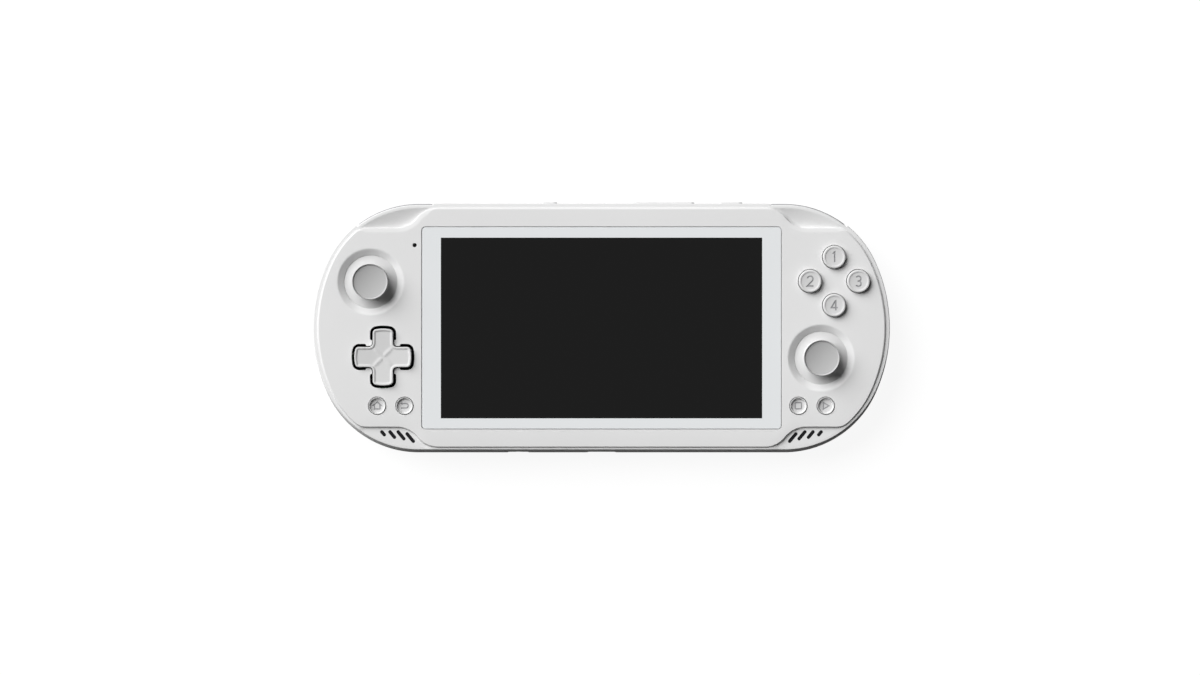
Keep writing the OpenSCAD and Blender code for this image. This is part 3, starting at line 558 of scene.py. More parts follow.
def display_glass(lens_low, lens_high):
    """Clear hard glass over a pale printed border and a dark display area that is switched off.

    The border is where the place is further from the middle than half the display area's width or height.
    """
    shade = new_material("lens_glass")
    middle = (lens_low + lens_high) / 2 / metre
    area = display_area / 2 / metre
    place = shade.add("ShaderNodeTexCoord", output="Object")
    across = shade.add("ShaderNodeSeparateXYZ", {0: place}, output="X")
    along = Shade(shade.tree, across.socket.node.outputs["Y"])
    beside = across.calculate("ABSOLUTE", across - float(middle[0])) > float(area[0])
    above = along.calculate("ABSOLUTE", along - float(middle[1])) > float(area[1])
    border = beside.calculate("MAXIMUM", beside, above)
    film = noise(shade, place, 20.0)
    surface = shade.add("ShaderNodeBsdfPrincipled", {
        "Base Color": tinted(shade, (0.006, 0.006, 0.006, 1), (0.74, 0.757, 0.768, 1), border),
        "Roughness": 0.1 + 0.05 * film,
        "Specular IOR Level": 0.09,
    })
    close_material(shade, surface)


moulded("shell_white", (0.715, 0.715, 0.715), 0.7, specular=0.1)
moulded("control_white", (0.62, 0.62, 0.62), 0.65, grain=0.1, depth=0.0015, specular=0.12)
moulded("cap_rubber", (0.42, 0.42, 0.42), 0.78, grain=0.12, depth=0.006, specular=0.3)
moulded("shoulder_grey", (0.3, 0.3, 0.31), 0.42, grain=0.12, depth=0.002)
moulded("black_plastic", (0.014, 0.014, 0.015), 0.6, grain=0.14, depth=0.004, specular=0.2)
moulded("mat_rubber", (0.008, 0.008, 0.009), 0.8, grain=0.2, depth=0.005, specular=0.12)
moulded("screen_black", (0.006, 0.006, 0.006), 0.25, grain=0.3, depth=0.0005, specular=0.2)
metal("steel", (0.56, 0.56, 0.57), 0.34)
metal("aluminium", (0.72, 0.72, 0.73), 0.38, lines=True)
metal("battery_foil", (0.22, 0.22, 0.23), 0.45)
circuit_board()
lens_low, lens_high = node_box("display_lens")
display_area = np.array([110.6, 62.2])
display_glass(lens_low, lens_high)


# Front panel

lens_size = lens_high - lens_low
lens_middle = (lens_low + lens_high) / 2
# The glass as the photo shows it: a little narrower than its solid at both ends, with a wider gap at the left
trim_left = 0.33
trim_right = 0.2
glass_size = lens_size[:2] - [trim_left + trim_right, 0]
glass_middle = lens_middle[:2] + [(trim_left - trim_right) / 2, 0]
glass_corner = 1.2
glass_gap = 0.23
gap_shift = 0.06
screen_gap = 0.4
screen_low, screen_high = node_box("display_panel")
screen_size = screen_high - screen_low
stick_places = {"left": node_middle("left_stick_cap"), "right": node_middle("right_stick_cap")}
dpad_low, dpad_high = node_box("dpad")
dpad_place = (dpad_low + dpad_high) / 2
# The cross is a little longer than its solid
dpad_longer = 0.2
dpad_span = dpad_high[0] - dpad_low[0] + dpad_longer
dpad_arm = 6.96
dpad_gaps = (0.34, 1.02)
face_radius = 3.95
menu_radius = 2.9
button_gap = 0.2
microphone_radius = 0.72
panel_step = 0.3
skirt_depth = 0.9
face_names = ("button_top", "button_left", "button_right", "button_bottom")
menu_names = ("menu_home", "menu_back", "menu_square", "menu_start")
pivot_z = 8.0
dome_low, dome_high = node_box("left_stick_dome")
dome_skirt = dome_low[2]
dome_radius = math.hypot((dome_high[0] - dome_low[0]) / 2, dome_skirt - pivot_z)
dome_gap = 0.3
bowl_radius = 11.4
lip_round = 0.4
lip_border = 0.75
bowl_z = face_z - 1.45
boss_z = face_z - 3.0
boss_radius = bowl_radius + 1.2


def seat_radius(z):
    """Radius of the opening that follows the dome at a height."""
    return np.sqrt((dome_radius + dome_gap) ** 2 - (z - pivot_z) ** 2)


def bend(start, corner, stop, steps=8):
    """Points on a curve that leaves start towards the corner and reaches stop from it: a quadratic blend."""
    share = np.linspace(0, 1, steps + 1)[:, None]
    start, corner, stop = (np.asarray(p, float) for p in (start, corner, stop))
    return (1 - share) ** 2 * start + 2 * share * (1 - share) * corner + share ** 2 * stop


def bowl_profile():
    """Section of a stick's bowl and boss: rounded lip, sloping wall, rounded foot, seat along the dome."""
    foot = np.array([seat_radius(bowl_z), bowl_z])
    lip = np.array([bowl_radius, face_z])
    slope = (foot - lip) / np.hypot(*(foot - lip))
    seat_top = bowl_z - 0.25
    seat_z = np.linspace(seat_top, boss_z, 5)
    return np.vstack([
        [[bowl_radius + lip_border, face_z]],
        bend(lip + [lip_round, 0], lip, lip + lip_round * slope),
        bend(foot - 0.1 * slope, foot, (seat_radius(seat_top), seat_top), 5)[:-1],
        np.stack([seat_radius(seat_z), seat_z], axis=1),
        [[boss_radius, boss_z], [boss_radius, panel_z]],
    ])


def hole_profile(rounding=0.2, top=face_z, bottom=panel_z):
    """Section of a hole's wall: a level ring, a rounded edge and an upright wall; outside is negative."""
    border = 0.15
    edge = quarter_round(rounding, rounding, top, 5)[::-1]
    return np.vstack([[[-rounding - border, top]], edge * [-1, 1], [[0, bottom]]])


def dpad_hole():
    """The cross with a narrow gap near its middle and a wide one around the arm ends, blended in between."""
    narrow_reach = 0.6 * dpad_span / 2
    blend = 0.3
    line = closer(cross_outline(dpad_span, dpad_arm))
    reach = np.abs(line[:, :2]).max(axis=1)
    wide = np.clip((reach - narrow_reach) / blend + 0.5, 0, 1)
    return moved(inset_line(line, -between(dpad_gaps, wide)[:, None]), dpad_place)


def front_panel():
    """The raised face: a rounded edge, bowls for the sticks and rounded holes, joined by flat sheets.

    The edge is a soft bevel, wide in the top corners, where a skirt reaches down behind the hollows, and
    steeper along the bottom.
    """
    width = between(face_round, hollow) * (1 + bottom_wider * lower)
    drop = between(face_drop, hollow) * (1 + bottom_deeper * lower)
    foot = bend((0, 1.2), (0, 0.96), (0.15, 0.81), 6)
    bevel = np.vstack([foot, bend((0.75, 0.21), (0.96, 0), (1.25, 0), 6)])
    sections = [(panel_step, panel_z), (0, panel_z - skirt_depth * hollow)]
    sections += [(inset * width, face_z - fall * drop) for inset, fall in bevel]
    surfaces = [grid(rows_along(face_line, sections))]
    face_edge = inset_line(face_line, (bevel[-1, 0] * width)[:, None])
    top_holes = []
    bottom_holes = []

    hole_corner = glass_corner + 0.2
    lens_hole = rounded_rectangle(*(glass_size + 2 * glass_gap), hole_corner)
    lens_hole = moved(lens_hole, glass_middle - [gap_shift, 0])
    screen_hole = moved(rounded_rectangle(*(screen_size[:2] + 2 * screen_gap), hole_corner), lens_middle)
    lens_wall = hole_profile(rounding=0.05, bottom=lens_low[2])
    surfaces.append(sweep(lens_hole, lens_wall))
    step = np.stack([lens_hole, screen_hole, screen_hole])[:, :, :2]
    step_z = np.array([lens_low[2], lens_low[2], panel_z])[:, None, None]
    surfaces.append(grid(np.concatenate([step, np.broadcast_to(step_z, step.shape[:2] + (1,))], axis=2)))
    top_holes.append(inset_line(lens_hole, lens_wall[0, 0]))
    bottom_holes.append(screen_hole)

    for place in stick_places.values():
        section = bowl_profile()
        surfaces.append(revolve(section, place, 128))
        top_holes.append(circle(place, section[0, 0], 128))
        bottom_holes.append(circle(place, boss_radius, 128))

    holes = [circle(node_middle(name), face_radius + button_gap) for name in face_names]
    holes += [circle(node_middle(name), menu_radius + button_gap) for name in menu_names]
    wall = hole_profile()
    microphone = circle(node_middle("microphone"), microphone_radius, 32)
    narrow = hole_profile(rounding=0.1)
    for line, section in [(line, wall) for line in holes] + [(dpad_hole(), narrow), (microphone, narrow)]:
        surfaces.append(sweep(line, section))
        top_holes.append(inset_line(line, section[0, 0]))
        bottom_holes.append(line)

    surfaces.append(fill(face_z, face_edge, top_holes))
    surfaces.append(fill(panel_z, inset_line(face_line, panel_step), bottom_holes))
    return piece_mesh("front_panel_shell", surfaces)


add_piece("front_panel_shell", front_panel(), "shell_white", "console", "front_panel")


# Middle frame

shoulder_sweep = 38.0
shoulder_lead = 4.93
shoulder_top = ledge_under - 1.1
# The window is longer than the buttons by this angle, in degrees, and by half as many millimetres
window_margin = 0.8
window_top = shoulder_top + 0.2
swing_gap = 0.4
pin_radius = 0.75
pins_low, pins_high = node_box("shoulder_pins")
shoulder_pin = np.array([pins_high[0] - pin_radius, (pins_low[1] + pins_high[1]) / 2])
notch = 0.5
notch_round = 0.4
notch_drop = 0.6
hollow_bend = 0.3
slot_count = 4
slot_width = 1.2
slot_length = 3.3
slot_shortening = 0.225
slot_pitch = 2.8
slot_turn = math.radians(230)
last_slot_apart = (0.3, 0.69)
# Start of the first slot, from the middle between the end of the S-shaped line and the nose
first_slot = (-0.12, -1.38)
gauze_gap = 0.03
frame_inner = 2.0
shelf_overlap = 1.5
port_z = node_middle("usb_shell")[2]
port_gap = 0.2
jack_x = node_middle("headphone_jack")[0]
jack_hole = 3.15
card_opening = (12.4, 1.6)
edge_names = ("volume_rocker", "power_button", "option_button")
edge_flange = 0.7
edge_hole_height = 3.4
# Cutters through the top and bottom edge reach from inside the wall to outside it
top_cut = (half_height - 3, half_height + 2)
bottom_cut = (-half_height - 2, -half_height + 3)
split_turn = math.asin(1 - split_z / side_z)


def back_curve(start, stop, count):
    """Section of the back's rounding between two angles of a quarter ellipse, upright at its top."""
    turn = np.linspace(start, stop, count)
    return np.stack([back_round * (1 - np.cos(turn)), side_z * (1 - np.sin(turn))], axis=1)


def shoulder_run(margin=0.0):
    """Stations along the right shoulder buttons, from the far end on the corner arc to the long edge."""
    bend_part = arc((corner_x, corner_y), corner_radius, 90 - shoulder_sweep - margin, 90, 0.75)
    straight = [[corner_x - shoulder_lead - margin / 2, half_height, 0, 1]]
    return np.vstack([bend_part, straight])


def middle_frame():
    """A closed ring: outer side, rounded rim, ledge or hollow up to the raised face, then down the inside.

    The rim is an ellipse, along the bottom edge larger and flatter, as its sine and cosine are raised to a
    power above one, and it steps in over the shoulder buttons. The ledge falls a little to the rim. A top
    corner's hollow starts behind a narrow crest and falls to the face, a bit bent.
    """
    angle = np.degrees(np.arctan2(body_line[:, 1] - corner_y, np.abs(body_line[:, 0]) - corner_x))
    window_start = corner_x - shoulder_lead - window_margin / 2
    over_shoulder = np.abs(body_line[:, 0]) > window_start
    over_shoulder &= angle > 90 - shoulder_sweep - window_margin
    step_in = np.where(over_shoulder, notch, 0.0)
    width = np.where(over_shoulder, notch_round, between(rim_round, lower))
    drop = np.where(over_shoulder, notch_drop, between(rim_drop, lower))
    rim_inset = step_in + width

    def ledge_height(inset):
        """Height of the ledge at an inset from the body's line."""
        return crest_z - ledge_drop - rim_slope * np.clip(rim_width - inset, 0, None)

    sections = [(frame_inner, split_z), *back_curve(split_turn, 0, 9), (0, shoulder_top)]
    sections.append((step_in, shoulder_top + 0.05))
    power = between(rim_power, lower)
    for turn in np.linspace(0, math.pi / 2, 11):
        across = 1 - max(math.cos(turn), 0) ** power
        below = 1 - math.sin(turn) ** power
        sections.append((step_in + width * across, ledge_height(rim_inset) - drop * below))
    rows = list(rows_along(body_line, sections))

    crest = rows[-1]
    wall = np.column_stack([inset_line(face_line, seam)[:, :2], crest[:, 2]])
    apart = np.hypot(*(crest - wall)[:, :2].T)
    band = np.minimum(crest_width, 0.35 * apart)
    for share in np.concatenate([[-0.5], np.linspace(0, 1, 17) ** 1.3]):
        distance = band + share * np.where(share < 0, band, apart - band)
        points = crest + (distance / apart)[:, None] * (wall - crest)
        sunk = max(share, 0)
        fall = hollow_slope * (apart - band) * ((1 + hollow_bend) * sunk - hollow_bend * sunk ** 2)
        points[:, 2] = ledge_height(rim_inset + distance) - fall
        rows.append(points)

    shelf = inset_line(face_line, shelf_overlap)[:, :2]
    shelf_z = np.minimum(panel_z, rows[-1][:, 2] - 0.05)
    under = np.where(over_shoulder | (hollow > 0), window_top, ledge_under)
    rows.append(np.column_stack([wall[:, :2], shelf_z]))
    rows.append(np.column_stack([shelf, shelf_z]))
    rows.append(np.column_stack([shelf, under]))
    rows.append(rows_along(body_line, [(frame_inner, under)])[0])
    mesh = piece_mesh("middle_frame_shell", [grid(np.stack(rows), True, True)])
    return cut(cut(mesh, port_recesses()), frame_cutters())


def block(line, bottom, top):
    """A closed prism over an outline."""
    wall = sweep(line, [[0, bottom], [0, top]])
    return [wall, fill(bottom, line), fill(top, line)]


def pill(place, length, height, start, stop, corner=None):
    """A closed prism through the long edge at a place, along Y, with half-round ends or rounded corners."""
    corner = corner or height / 2 - 0.01
    line = moved(rounded_rectangle(length, height, corner, 6), (place[0], place[2]))
    return [turned_to_edge(surface) for surface in block(line, start, stop)]


def speaker_slots(width, bottom, top):
    """Slanting bars at the right ledge's slots, each longer than the one before, the last a bit apart."""
    shapes = []
    ahead = np.array([math.cos(slot_turn), math.sin(slot_turn)])
    first = np.array([(s_end + nose_x) / 2, -ledge_level]) + first_slot
    for i in range(slot_count):
        to_last = slot_count - 1 - i
        apart = (0, 0) if to_last else last_slot_apart
        length = slot_length - slot_shortening * to_last ** 2
        start = first - [slot_pitch * i + apart[0], apart[1]]
        flat = rounded_rectangle(length + width, width, width / 2 - 0.01)
        turned = np.hstack([flat[:, :1] * ahead + flat[:, 1:2] * [-ahead[1], ahead[0]], flat[:, 2:]])
        shapes += block(moved(turned, start + ahead * length / 2), bottom, top)
    return shapes


def window_line(depth):
    """Plan of the right shoulder window: outside along the edge, and back inside at a depth.

    Its far end lies on a circle about the shoulder pin, so that the buttons can swing in.
    """
    away = shoulder_pin - [corner_x, corner_y]
    reach = np.hypot(*(shoulder_run()[0, :2] - shoulder_pin)) + swing_gap
    sides = []
    for inset in (-1.0, depth):
        radius = corner_radius - inset
        spread = (radius ** 2 + away @ away - reach ** 2) / (2 * radius * np.hypot(*away))
        stop = math.degrees(math.atan2(away[1], away[0]) - math.acos(spread))
        stop = min(stop, 90 - shoulder_sweep - window_margin)
        side = arc((corner_x, corner_y), corner_radius, stop, 90, 0.75)
        sides.append(inset_line(np.vstack([side, shoulder_run(window_margin)[-1:]]), inset))
    return np.vstack([sides[0], sides[1][::-1]])


def jack_cutter(start, stop):
    """A round bar along Y through the bottom edge at the headphone jack."""
    return [turned_to_edge(surface) for surface in block(circle((jack_x, port_z), jack_hole), start, stop)]


def frame_cutters():
    """Everything that is cut out of the frame: slots, shoulder windows, edge button holes and ports."""
    window = block(window_line(frame_inner + 3), split_z - 1, window_top)
    shapes = both_sides(window + speaker_slots(slot_width, ledge_under - 1, face_z))
    for name in edge_names:
        low, high = node_box(name)
        length = high[0] - low[0] - 2 * edge_flange + 2 * button_gap
        shapes += pill((low + high) / 2, length, edge_hole_height, *top_cut)
    shapes += pill(node_middle("card_socket"), *card_opening, *top_cut)
    low, high = node_box("usb_shell")
    length, _, height = high - low + 2 * port_gap
    shapes += pill((low + high) / 2, length, height, *bottom_cut)
    return shapes + jack_cutter(*bottom_cut)


def port_recesses():
    """Shallow flat recesses in the bottom edge, around the charging port and the headphone jack."""
    height = 7.3
    depth = 0.2
    corner = 1.5
    shapes = []
    for x, width in ((0, 9.8), (jack_x, 7.2)):
        shapes += pill((x, 0, port_z + 0.65), width, height, bottom_cut[0], -half_height + depth, corner)
    return shapes


add_piece("middle_frame_shell", middle_frame(), "shell_white", "console", "middle_frame")
slot_pads = both_sides(speaker_slots(slot_width - 2 * gauze_gap, ledge_under - 0.4, crest_z - 0.5))
slot_pads = piece_mesh("speaker_slot_gauze", slot_pads)
add_piece("speaker_slot_gauze", slot_pads, "mat_rubber", "console")


# Back cover

back_wall = 1.8
boss_end = node_box("front_panel")[0][2]
trigger_low = node_box("right_trigger")[0][2]
lip_height = 0.9
lip_width = 0.85
lip_gap = 0.15
screw_head = 1.9
screw_hole = 1.1
counterbore = 2.1
bore_depth = 1.4
bore_mouth = 2.4
screw_boss = 2.6
end_screw_y = 3.5
screw_from_lens_end = 0.85


def screw_places():
    """Middles of the housing screws: one beside each corner of the display and one near each end."""
    screws_low, screws_high = node_box("housing_screws")
    beside = lens_size[0] / 2 - screw_from_lens_end
    places = ((beside, screws_high[1] - screw_head), (beside, screws_low[1] + screw_head),
              (screws_high[0] - screw_head, end_screw_y))
    return [(side * x, y) for side in (1, -1) for x, y in places]


def back_cover():
    """A pan: flat back with counterbored screw holes, rounded sides, a lip and a hollow inside."""
    lip_out = frame_inner + lip_gap
    lip_in = lip_out + lip_width
    lip_top = split_z + lip_height
    lip_foot = split_z - 0.6
    flat_inset = back_round + 0.3
    lip = [[lip_out, split_z], [lip_out, lip_top], [lip_in, lip_top], [lip_in, lip_foot]]
    turn = np.linspace(0, math.pi / 2, 13)[1:]
    inside = np.stack([lip_in + 0.8 * back_round * (1 - np.cos(turn)),
                       back_wall + (lip_foot - back_wall) * (1 - np.sin(turn))], axis=1)
    section = np.vstack([[[flat_inset, 0]], back_curve(math.pi / 2, split_turn, 25), lip, inside])
    surfaces = [sweep(body_line, section)]
    bottom_holes = []
    floor_holes = []
    hole = [[bore_mouth, 0], [counterbore + 0.15, 0], [counterbore + 0.05, 0.04], [counterbore, 0.15],
            [counterbore, bore_depth], [screw_hole, bore_depth], [screw_hole, boss_end],
            [screw_boss, boss_end], [screw_boss, back_wall]]
    for place in screw_places():
        surfaces.append(revolve(hole, place, 48))
        bottom_holes.append(circle(place, bore_mouth, 48))
        floor_holes.append(circle(place, screw_boss, 48))
    surfaces.append(fill(0, inset_line(body_line, flat_inset), bottom_holes))
    surfaces.append(fill(back_wall, inset_line(body_line, inside[-1, 0]), floor_holes))
    mesh = piece_mesh("back_cover_shell", surfaces)
    shapes = both_sides(block(window_line(frame_inner + 4), trigger_low - 0.25, split_z + 2))
    return cut(mesh, shapes + jack_cutter(bottom_cut[0], bottom_cut[1] + 1))


add_piece("back_cover_shell", back_cover(), "shell_white", "console", "back_cover")


# Display lens

def display_lens():
    """A sheet of glass with rounded corners and a small rounded edge."""
    bottom, top = lens_low[2], lens_high[2]
    border = 0.3
    line = moved(rounded_rectangle(*glass_size, glass_corner), glass_middle)
    section = np.vstack([[[0, bottom]], quarter_round(0.08, 0.08, top, 5), [[border, top]]])
    surfaces = [sweep(line, section), fill(bottom, line), fill(top, inset_line(line, border))]
    return piece_mesh("display_lens_glass", surfaces)


add_piece("display_lens_glass", display_lens(), "lens_glass", "console", "display_lens")


# Thumb sticks

cap_low, cap_high = node_box("left_stick_cap")
cap_radius = (cap_high[0] - cap_low[0]) / 2
neck_radius = cap_radius - 0.95
neck_foot = neck_radius + 0.95
dome_skin = dome_radius + 0.26
dome_foot = dome_skirt + 0.2
shoulder_radius = 9.2
shoulder_rise = 0.4
shoulder_wall = 0.4
dome_wall = 1.1
neck_wall = 1.0
cap_round = 0.2
cap_step = 0.42
cap_dish = 0.55


def dome_profile():
    """Section of a dome: skirt, ball, flat shoulder, steep flare up to the neck, and the hollow inside."""
    top = cap_low[2]
    start = math.asin((dome_foot - pivot_z) / dome_skin)
    turn = np.linspace(start, math.acos(shoulder_radius / dome_skin), 20)
    ball = np.stack([dome_skin * np.cos(turn), pivot_z + dome_skin * np.sin(turn)], axis=1)
    edge = ball[-1]
    foot = np.array([neck_foot, edge[1] + shoulder_rise])
    foot_z = foot[1]
    slope = (foot - edge) / np.hypot(*(foot - edge))
    neck_inner = neck_radius - neck_wall
    inner = dome_radius - dome_wall
    hollow_top = math.acos((shoulder_radius - 0.5) / inner)
    hollow_turn = np.linspace(hollow_top, math.asin((dome_foot - pivot_z) / inner), 10)
    return np.vstack([
        ball[:-1],
        bend(edge - 0.2 * (edge - ball[-2]), edge, edge + 0.2 * slope, 4),
        bend(foot - 0.15 * slope, foot, foot + [-0.15, 0.4], 6),
        bend((neck_radius + 0.25, foot_z + 1.5), (neck_radius, foot_z + 2.2), (neck_radius, foot_z + 3), 6),
        [[neck_radius, top], [0, top], [0, top - neck_wall], [neck_inner, top - neck_wall]],
        [[neck_inner, foot_z - shoulder_wall], [shoulder_radius - 0.8, edge[1] - shoulder_wall]],
        np.stack([inner * np.cos(hollow_turn), pivot_z + inner * np.sin(hollow_turn)], axis=1),
    ])


def cap_profile():
    """Section of a cap: upright side, a rounded rim, a step down inside it and a dish."""
    bottom, top = cap_low[2], cap_high[2]
    dish_edge = cap_radius - 0.63
    dish = np.linspace(1, 0, 16)
    return np.vstack([
        [[0, bottom], [cap_radius - cap_round, bottom], [cap_radius, bottom + cap_round]],
        bend((cap_radius, top - cap_round), (cap_radius, top), (cap_radius - 0.12, top), 6),
        bend((cap_radius - 0.15, top), (cap_radius - 0.25, top), (cap_radius - 0.5, top - cap_step), 6),
        np.stack([dish_edge * dish, top - cap_step - 0.04 - cap_dish * (1 - dish ** 2)], axis=1),
    ])


for side, place in stick_places.items():
    dome = piece_mesh(side + "_stick_dome_shell", [revolve(dome_profile(), place, 128, over=True)])
    add_piece(side + "_stick_dome_shell", dome, "control_white", side + "_stick", side + "_stick_dome")
    cap = piece_mesh(side + "_stick_cap_rubber", [revolve(cap_profile(), place, 128)])
    add_piece(side + "_stick_cap_rubber", cap, "cap_rubber", side + "_stick", side + "_stick_cap")


# D-pad

dpad_top = dpad_high[2]
dpad_pivot = panel_z - 0.1
dpad_floor = dpad_pivot - 0.8
dpad_dish = 0.6
ridge_height = 0.2
ridge_width = 0.65
ball_low, ball_high = node_box("dpad_ball")
socket_radius = (ball_high[0] - ball_low[0]) / 2 + 0.05
socket_mouth = socket_radius + 1


def dpad_surface(x, y):
    """Height of the cross: four slopes that fall to the middle, with a low ridge where two of them meet."""
    x = x - dpad_place[0]
    y = y - dpad_place[1]
    reach = np.maximum(np.abs(x), np.abs(y))
    slopes = dpad_top - dpad_dish * (1 - reach / (dpad_span / 2))
    apart = np.abs(np.abs(x) - np.abs(y)) / math.sqrt(2)
    along = eased((dpad_arm / 2 + 0.8 - reach) / 2)
    return slopes + ridge_height * along * np.exp(-(apart / ridge_width) ** 2)


def dpad():
    """The cross: upright sides, a rounded rim, a step down inside the rim and the dished faces.

    Below are a flange and a round socket for the ball, with a cone that leaves room for the post.
    """
    line = moved(cross_outline(dpad_span, dpad_arm), dpad_place)
    rim = quarter_round(0.2, 0.4, 0, 6).tolist()
    rim += [[0.55, -0.03], [0.68, -0.08], [0.82, -0.2], [0.94, -0.27], [1.08, -0.29]]
    rows = [np.column_stack([line[:, :2], np.full(len(line), dpad_floor)])]
    for inset, lift in rim:
        flat = inset_line(line, inset)[:, :2]
        rows.append(np.column_stack([flat, dpad_surface(flat[:, 0], flat[:, 1]) + lift]))
    rim_end, rim_low = rim[-1]
    inside = inset_line(line, rim_end)
    steps = np.arange(-dpad_span / 2, dpad_span / 2, 0.22)
    x, y = np.meshgrid(steps + dpad_place[0], steps + dpad_place[1])
    inner = np.stack([x.ravel(), y.ravel()], axis=1)
    inner = inner[within(inner, inset_line(line, rim_end + 0.12))]
    flange = 0.3 * dpad_span
    ring = [[socket_mouth, -1.8], [flange - 0.8, -1.8], [flange, -1.3], [flange, -1.2], [flange - 1.2, -0.6],
            [socket_mouth, -0.6]]
    turn = np.linspace(0, math.pi / 2, 9)
    ball = socket_radius * np.stack([np.cos(turn), np.sin(turn)], axis=1)
    socket = np.vstack([[[socket_mouth, dpad_floor]], ball + [0, dpad_pivot]])
    return piece_mesh("dpad_cross", [
        grid(np.stack(rows)),
        fill(dpad_floor, line, [circle(dpad_place, socket_mouth, 64)]),
        fill(lambda px, py: dpad_surface(px, py) + rim_low, inside, (), inner),
        revolve(np.array(ring) + [0, dpad_pivot], dpad_place, 64, over=True),
        revolve(socket, dpad_place, 64),
    ])


add_piece("dpad_cross", dpad(), "control_white", "dpad", "dpad")


# Round buttons and their marks

flange_top = panel_z - 0.2
digit_width = 0.5
sign_width = 0.42
groove_depth = 0.25


def stem_profile(name, radius, stem, lift):
    """Section of a button's lower part: stem, flange and the foot of its upright side."""
    low, high = node_box(name)
    flange = (high[0] - low[0]) / 2
    bottom = low[2]
    step = bottom + lift
    return [[0, bottom], [stem, bottom], [stem, step], [flange, step], [flange, flange_top],
            [radius, flange_top]]


def face_profile(name):
    """Section of a face button: stem, flange, upright side, rounded rim and a shallow soft-edged dish."""
    radius = face_radius
    top = node_box(name)[1][2]
    return np.vstack([
        stem_profile(name, radius, stem=2.6, lift=0.2),
        bend((radius, top - 0.5), (radius - 0.02, top), (radius - 0.5, top), 9),
        bend((radius - 0.55, top), (radius - 0.75, top), (radius - 0.95, top - 0.15), 6),
        [[radius - 1.1, top - 0.18], [0, top - 0.2]],
    ])


def menu_profile(name):
    """Section of a menu button: stem, flange, a thin raised rim and a deep dish with sloping sides."""
    radius = menu_radius
    top = node_box(name)[1][2]
    return np.vstack([
        stem_profile(name, radius, stem=2, lift=0.3),
        bend((radius, top - 0.2), (radius, top), (radius - 0.13, top), 6),
        bend((radius - 0.15, top), (radius - 0.22, top), (radius - 0.28, top - 0.15), 4),
        bend((radius - 0.48, top - 0.75), (radius - 0.55, top - 0.9), (radius - 0.75, top - 0.92), 4),
        [[0, top - 0.94]],
    ])


def stroke(points, width, closed):
    """A line of a width along points: both sides lie half the width away, with pointed corners."""
    points = np.asarray(points, float)
    ahead = np.roll(points, -1, axis=0) - points
    ahead /= np.hypot(*ahead.T)[:, None]
    behind = np.roll(ahead, 1, axis=0)
    if not closed:
        ahead[-1] = behind[-1]
        behind[0] = ahead[0]
    left = np.stack([-ahead[:, 1], ahead[:, 0]], axis=1)
    left_behind = np.stack([-behind[:, 1], behind[:, 0]], axis=1)
    corner = left + left_behind
    corner /= np.sum(corner * left, axis=1)[:, None]
    one, other = points + width / 2 * corner, points - width / 2 * corner
    if not closed:
        return [np.vstack([one, other[::-1]])]
    return [other, one] if np.ptp(other[:, 0]) > np.ptp(one[:, 0]) else [one, other]


def plate(loops, place, bottom, top):
    """A flat closed shape between two heights: the first loop is its outline and the others are holes."""
    lines = [np.hstack([np.asarray(loop) + place[:2], np.zeros((len(loop), 2))]) for loop in loops]
    walls = [sweep(line, [[0, bottom], [0, top]]) for line in lines]
    return walls + [fill(bottom, lines[0], lines[1:]), fill(top, lines[0], lines[1:])]


def menu_marks():
    """Outlines for the menu buttons: a house, a line turning back to an arrow head, a square, a triangle."""
    house = [(-0.95, -1.1), (0.95, -1.1), (0.95, 0.2), (1.3, 0.2), (0, 1.35), (-1.3, 0.2), (-0.95, 0.2)]
    loop = arc((0.5, 0), 0.78, 90, -90, 15)[:, :2]
    back = np.vstack([[(-0.9, 0.78)], loop, [(-1.25, -0.78)]])
    head = [(-1.4, 0.78), (-0.7, 1.3), (-0.7, 0.26)]
    square = rounded_rectangle(2.15, 2.15, 0.3)[:, :2]
    triangle = [(-0.8, -1.12), (1.14, 0), (-0.8, 1.12)]
    return {
        "menu_home": [stroke(house, sign_width, True)],
        "menu_back": [stroke(back, sign_width, False), [head]],
        "menu_square": [stroke(square, sign_width, True)],
        "menu_start": [stroke(triangle, sign_width, True)],
    }


def digits():
    """Lines of the numbers 1 to 4, from straight runs and arcs, each as one or two strokes."""
    two = np.vstack([arc((0, 0.72), 0.98, 165, -35, 12)[:, :2], [(-1.0, -1.7), (1.1, -1.7)]])
    upper = np.vstack([arc((0, 0.85), 0.85, 150, -90, 12)[:, :2], [(-0.35, 0)]])
    lower_half = np.vstack([[(-0.35, 0)], arc((0, -0.9), 0.9, 90, -150, 12)[:, :2]])
    return [
        [[(-0.62, 1.12), (0.12, 1.7), (0.12, -1.74)]],
        [two],
        [upper, lower_half],
        [[(0.42, 1.6), (-1.05, -0.8), (1.15, -0.8)], [(0.5, 1.74), (0.5, -1.74)]],
    ]


def marked_button(name, section, strokes):
    """A round button with strokes engraved into the floor of its dish, and grey plates in the grooves as
    painted shade.
    """
    place = node_middle(name)
    floor_z = section[-1, 1]
    button = piece_mesh(name + "_cap", [revolve(section, place, 96)])
    painted_groove_shade = []
    for i, loops in enumerate(strokes):
        groove_z = floor_z - groove_depth - 0.01 * i
        button = cut(button, plate(loops, place, groove_z, floor_z + 1))
        # A grey plate near the bottom of the groove: painted shade that darkens the engraved stroke
        painted_groove_shade += plate(loops, place, groove_z - 0.1, groove_z + 0.04)
    add_piece(name + "_cap", button, "control_white", name, name)
    # The _mark piece holds the grey plates: painted shade in the grooves
    add_piece(name + "_mark", piece_mesh(name + "_mark", painted_groove_shade), "shoulder_grey", name)


for name, lines in zip(face_names, digits()):
    marked_button(name, face_profile(name), [stroke(line, digit_width, False) for line in lines])

for name, strokes in menu_marks().items():
    marked_button(name, menu_profile(name), strokes)


# Shoulder and edge buttons

pin_hole = pin_radius + 0.1
lug_radius = 1.4
end_draw = 0.7
end_run = 0.8
face_depth = 2.0


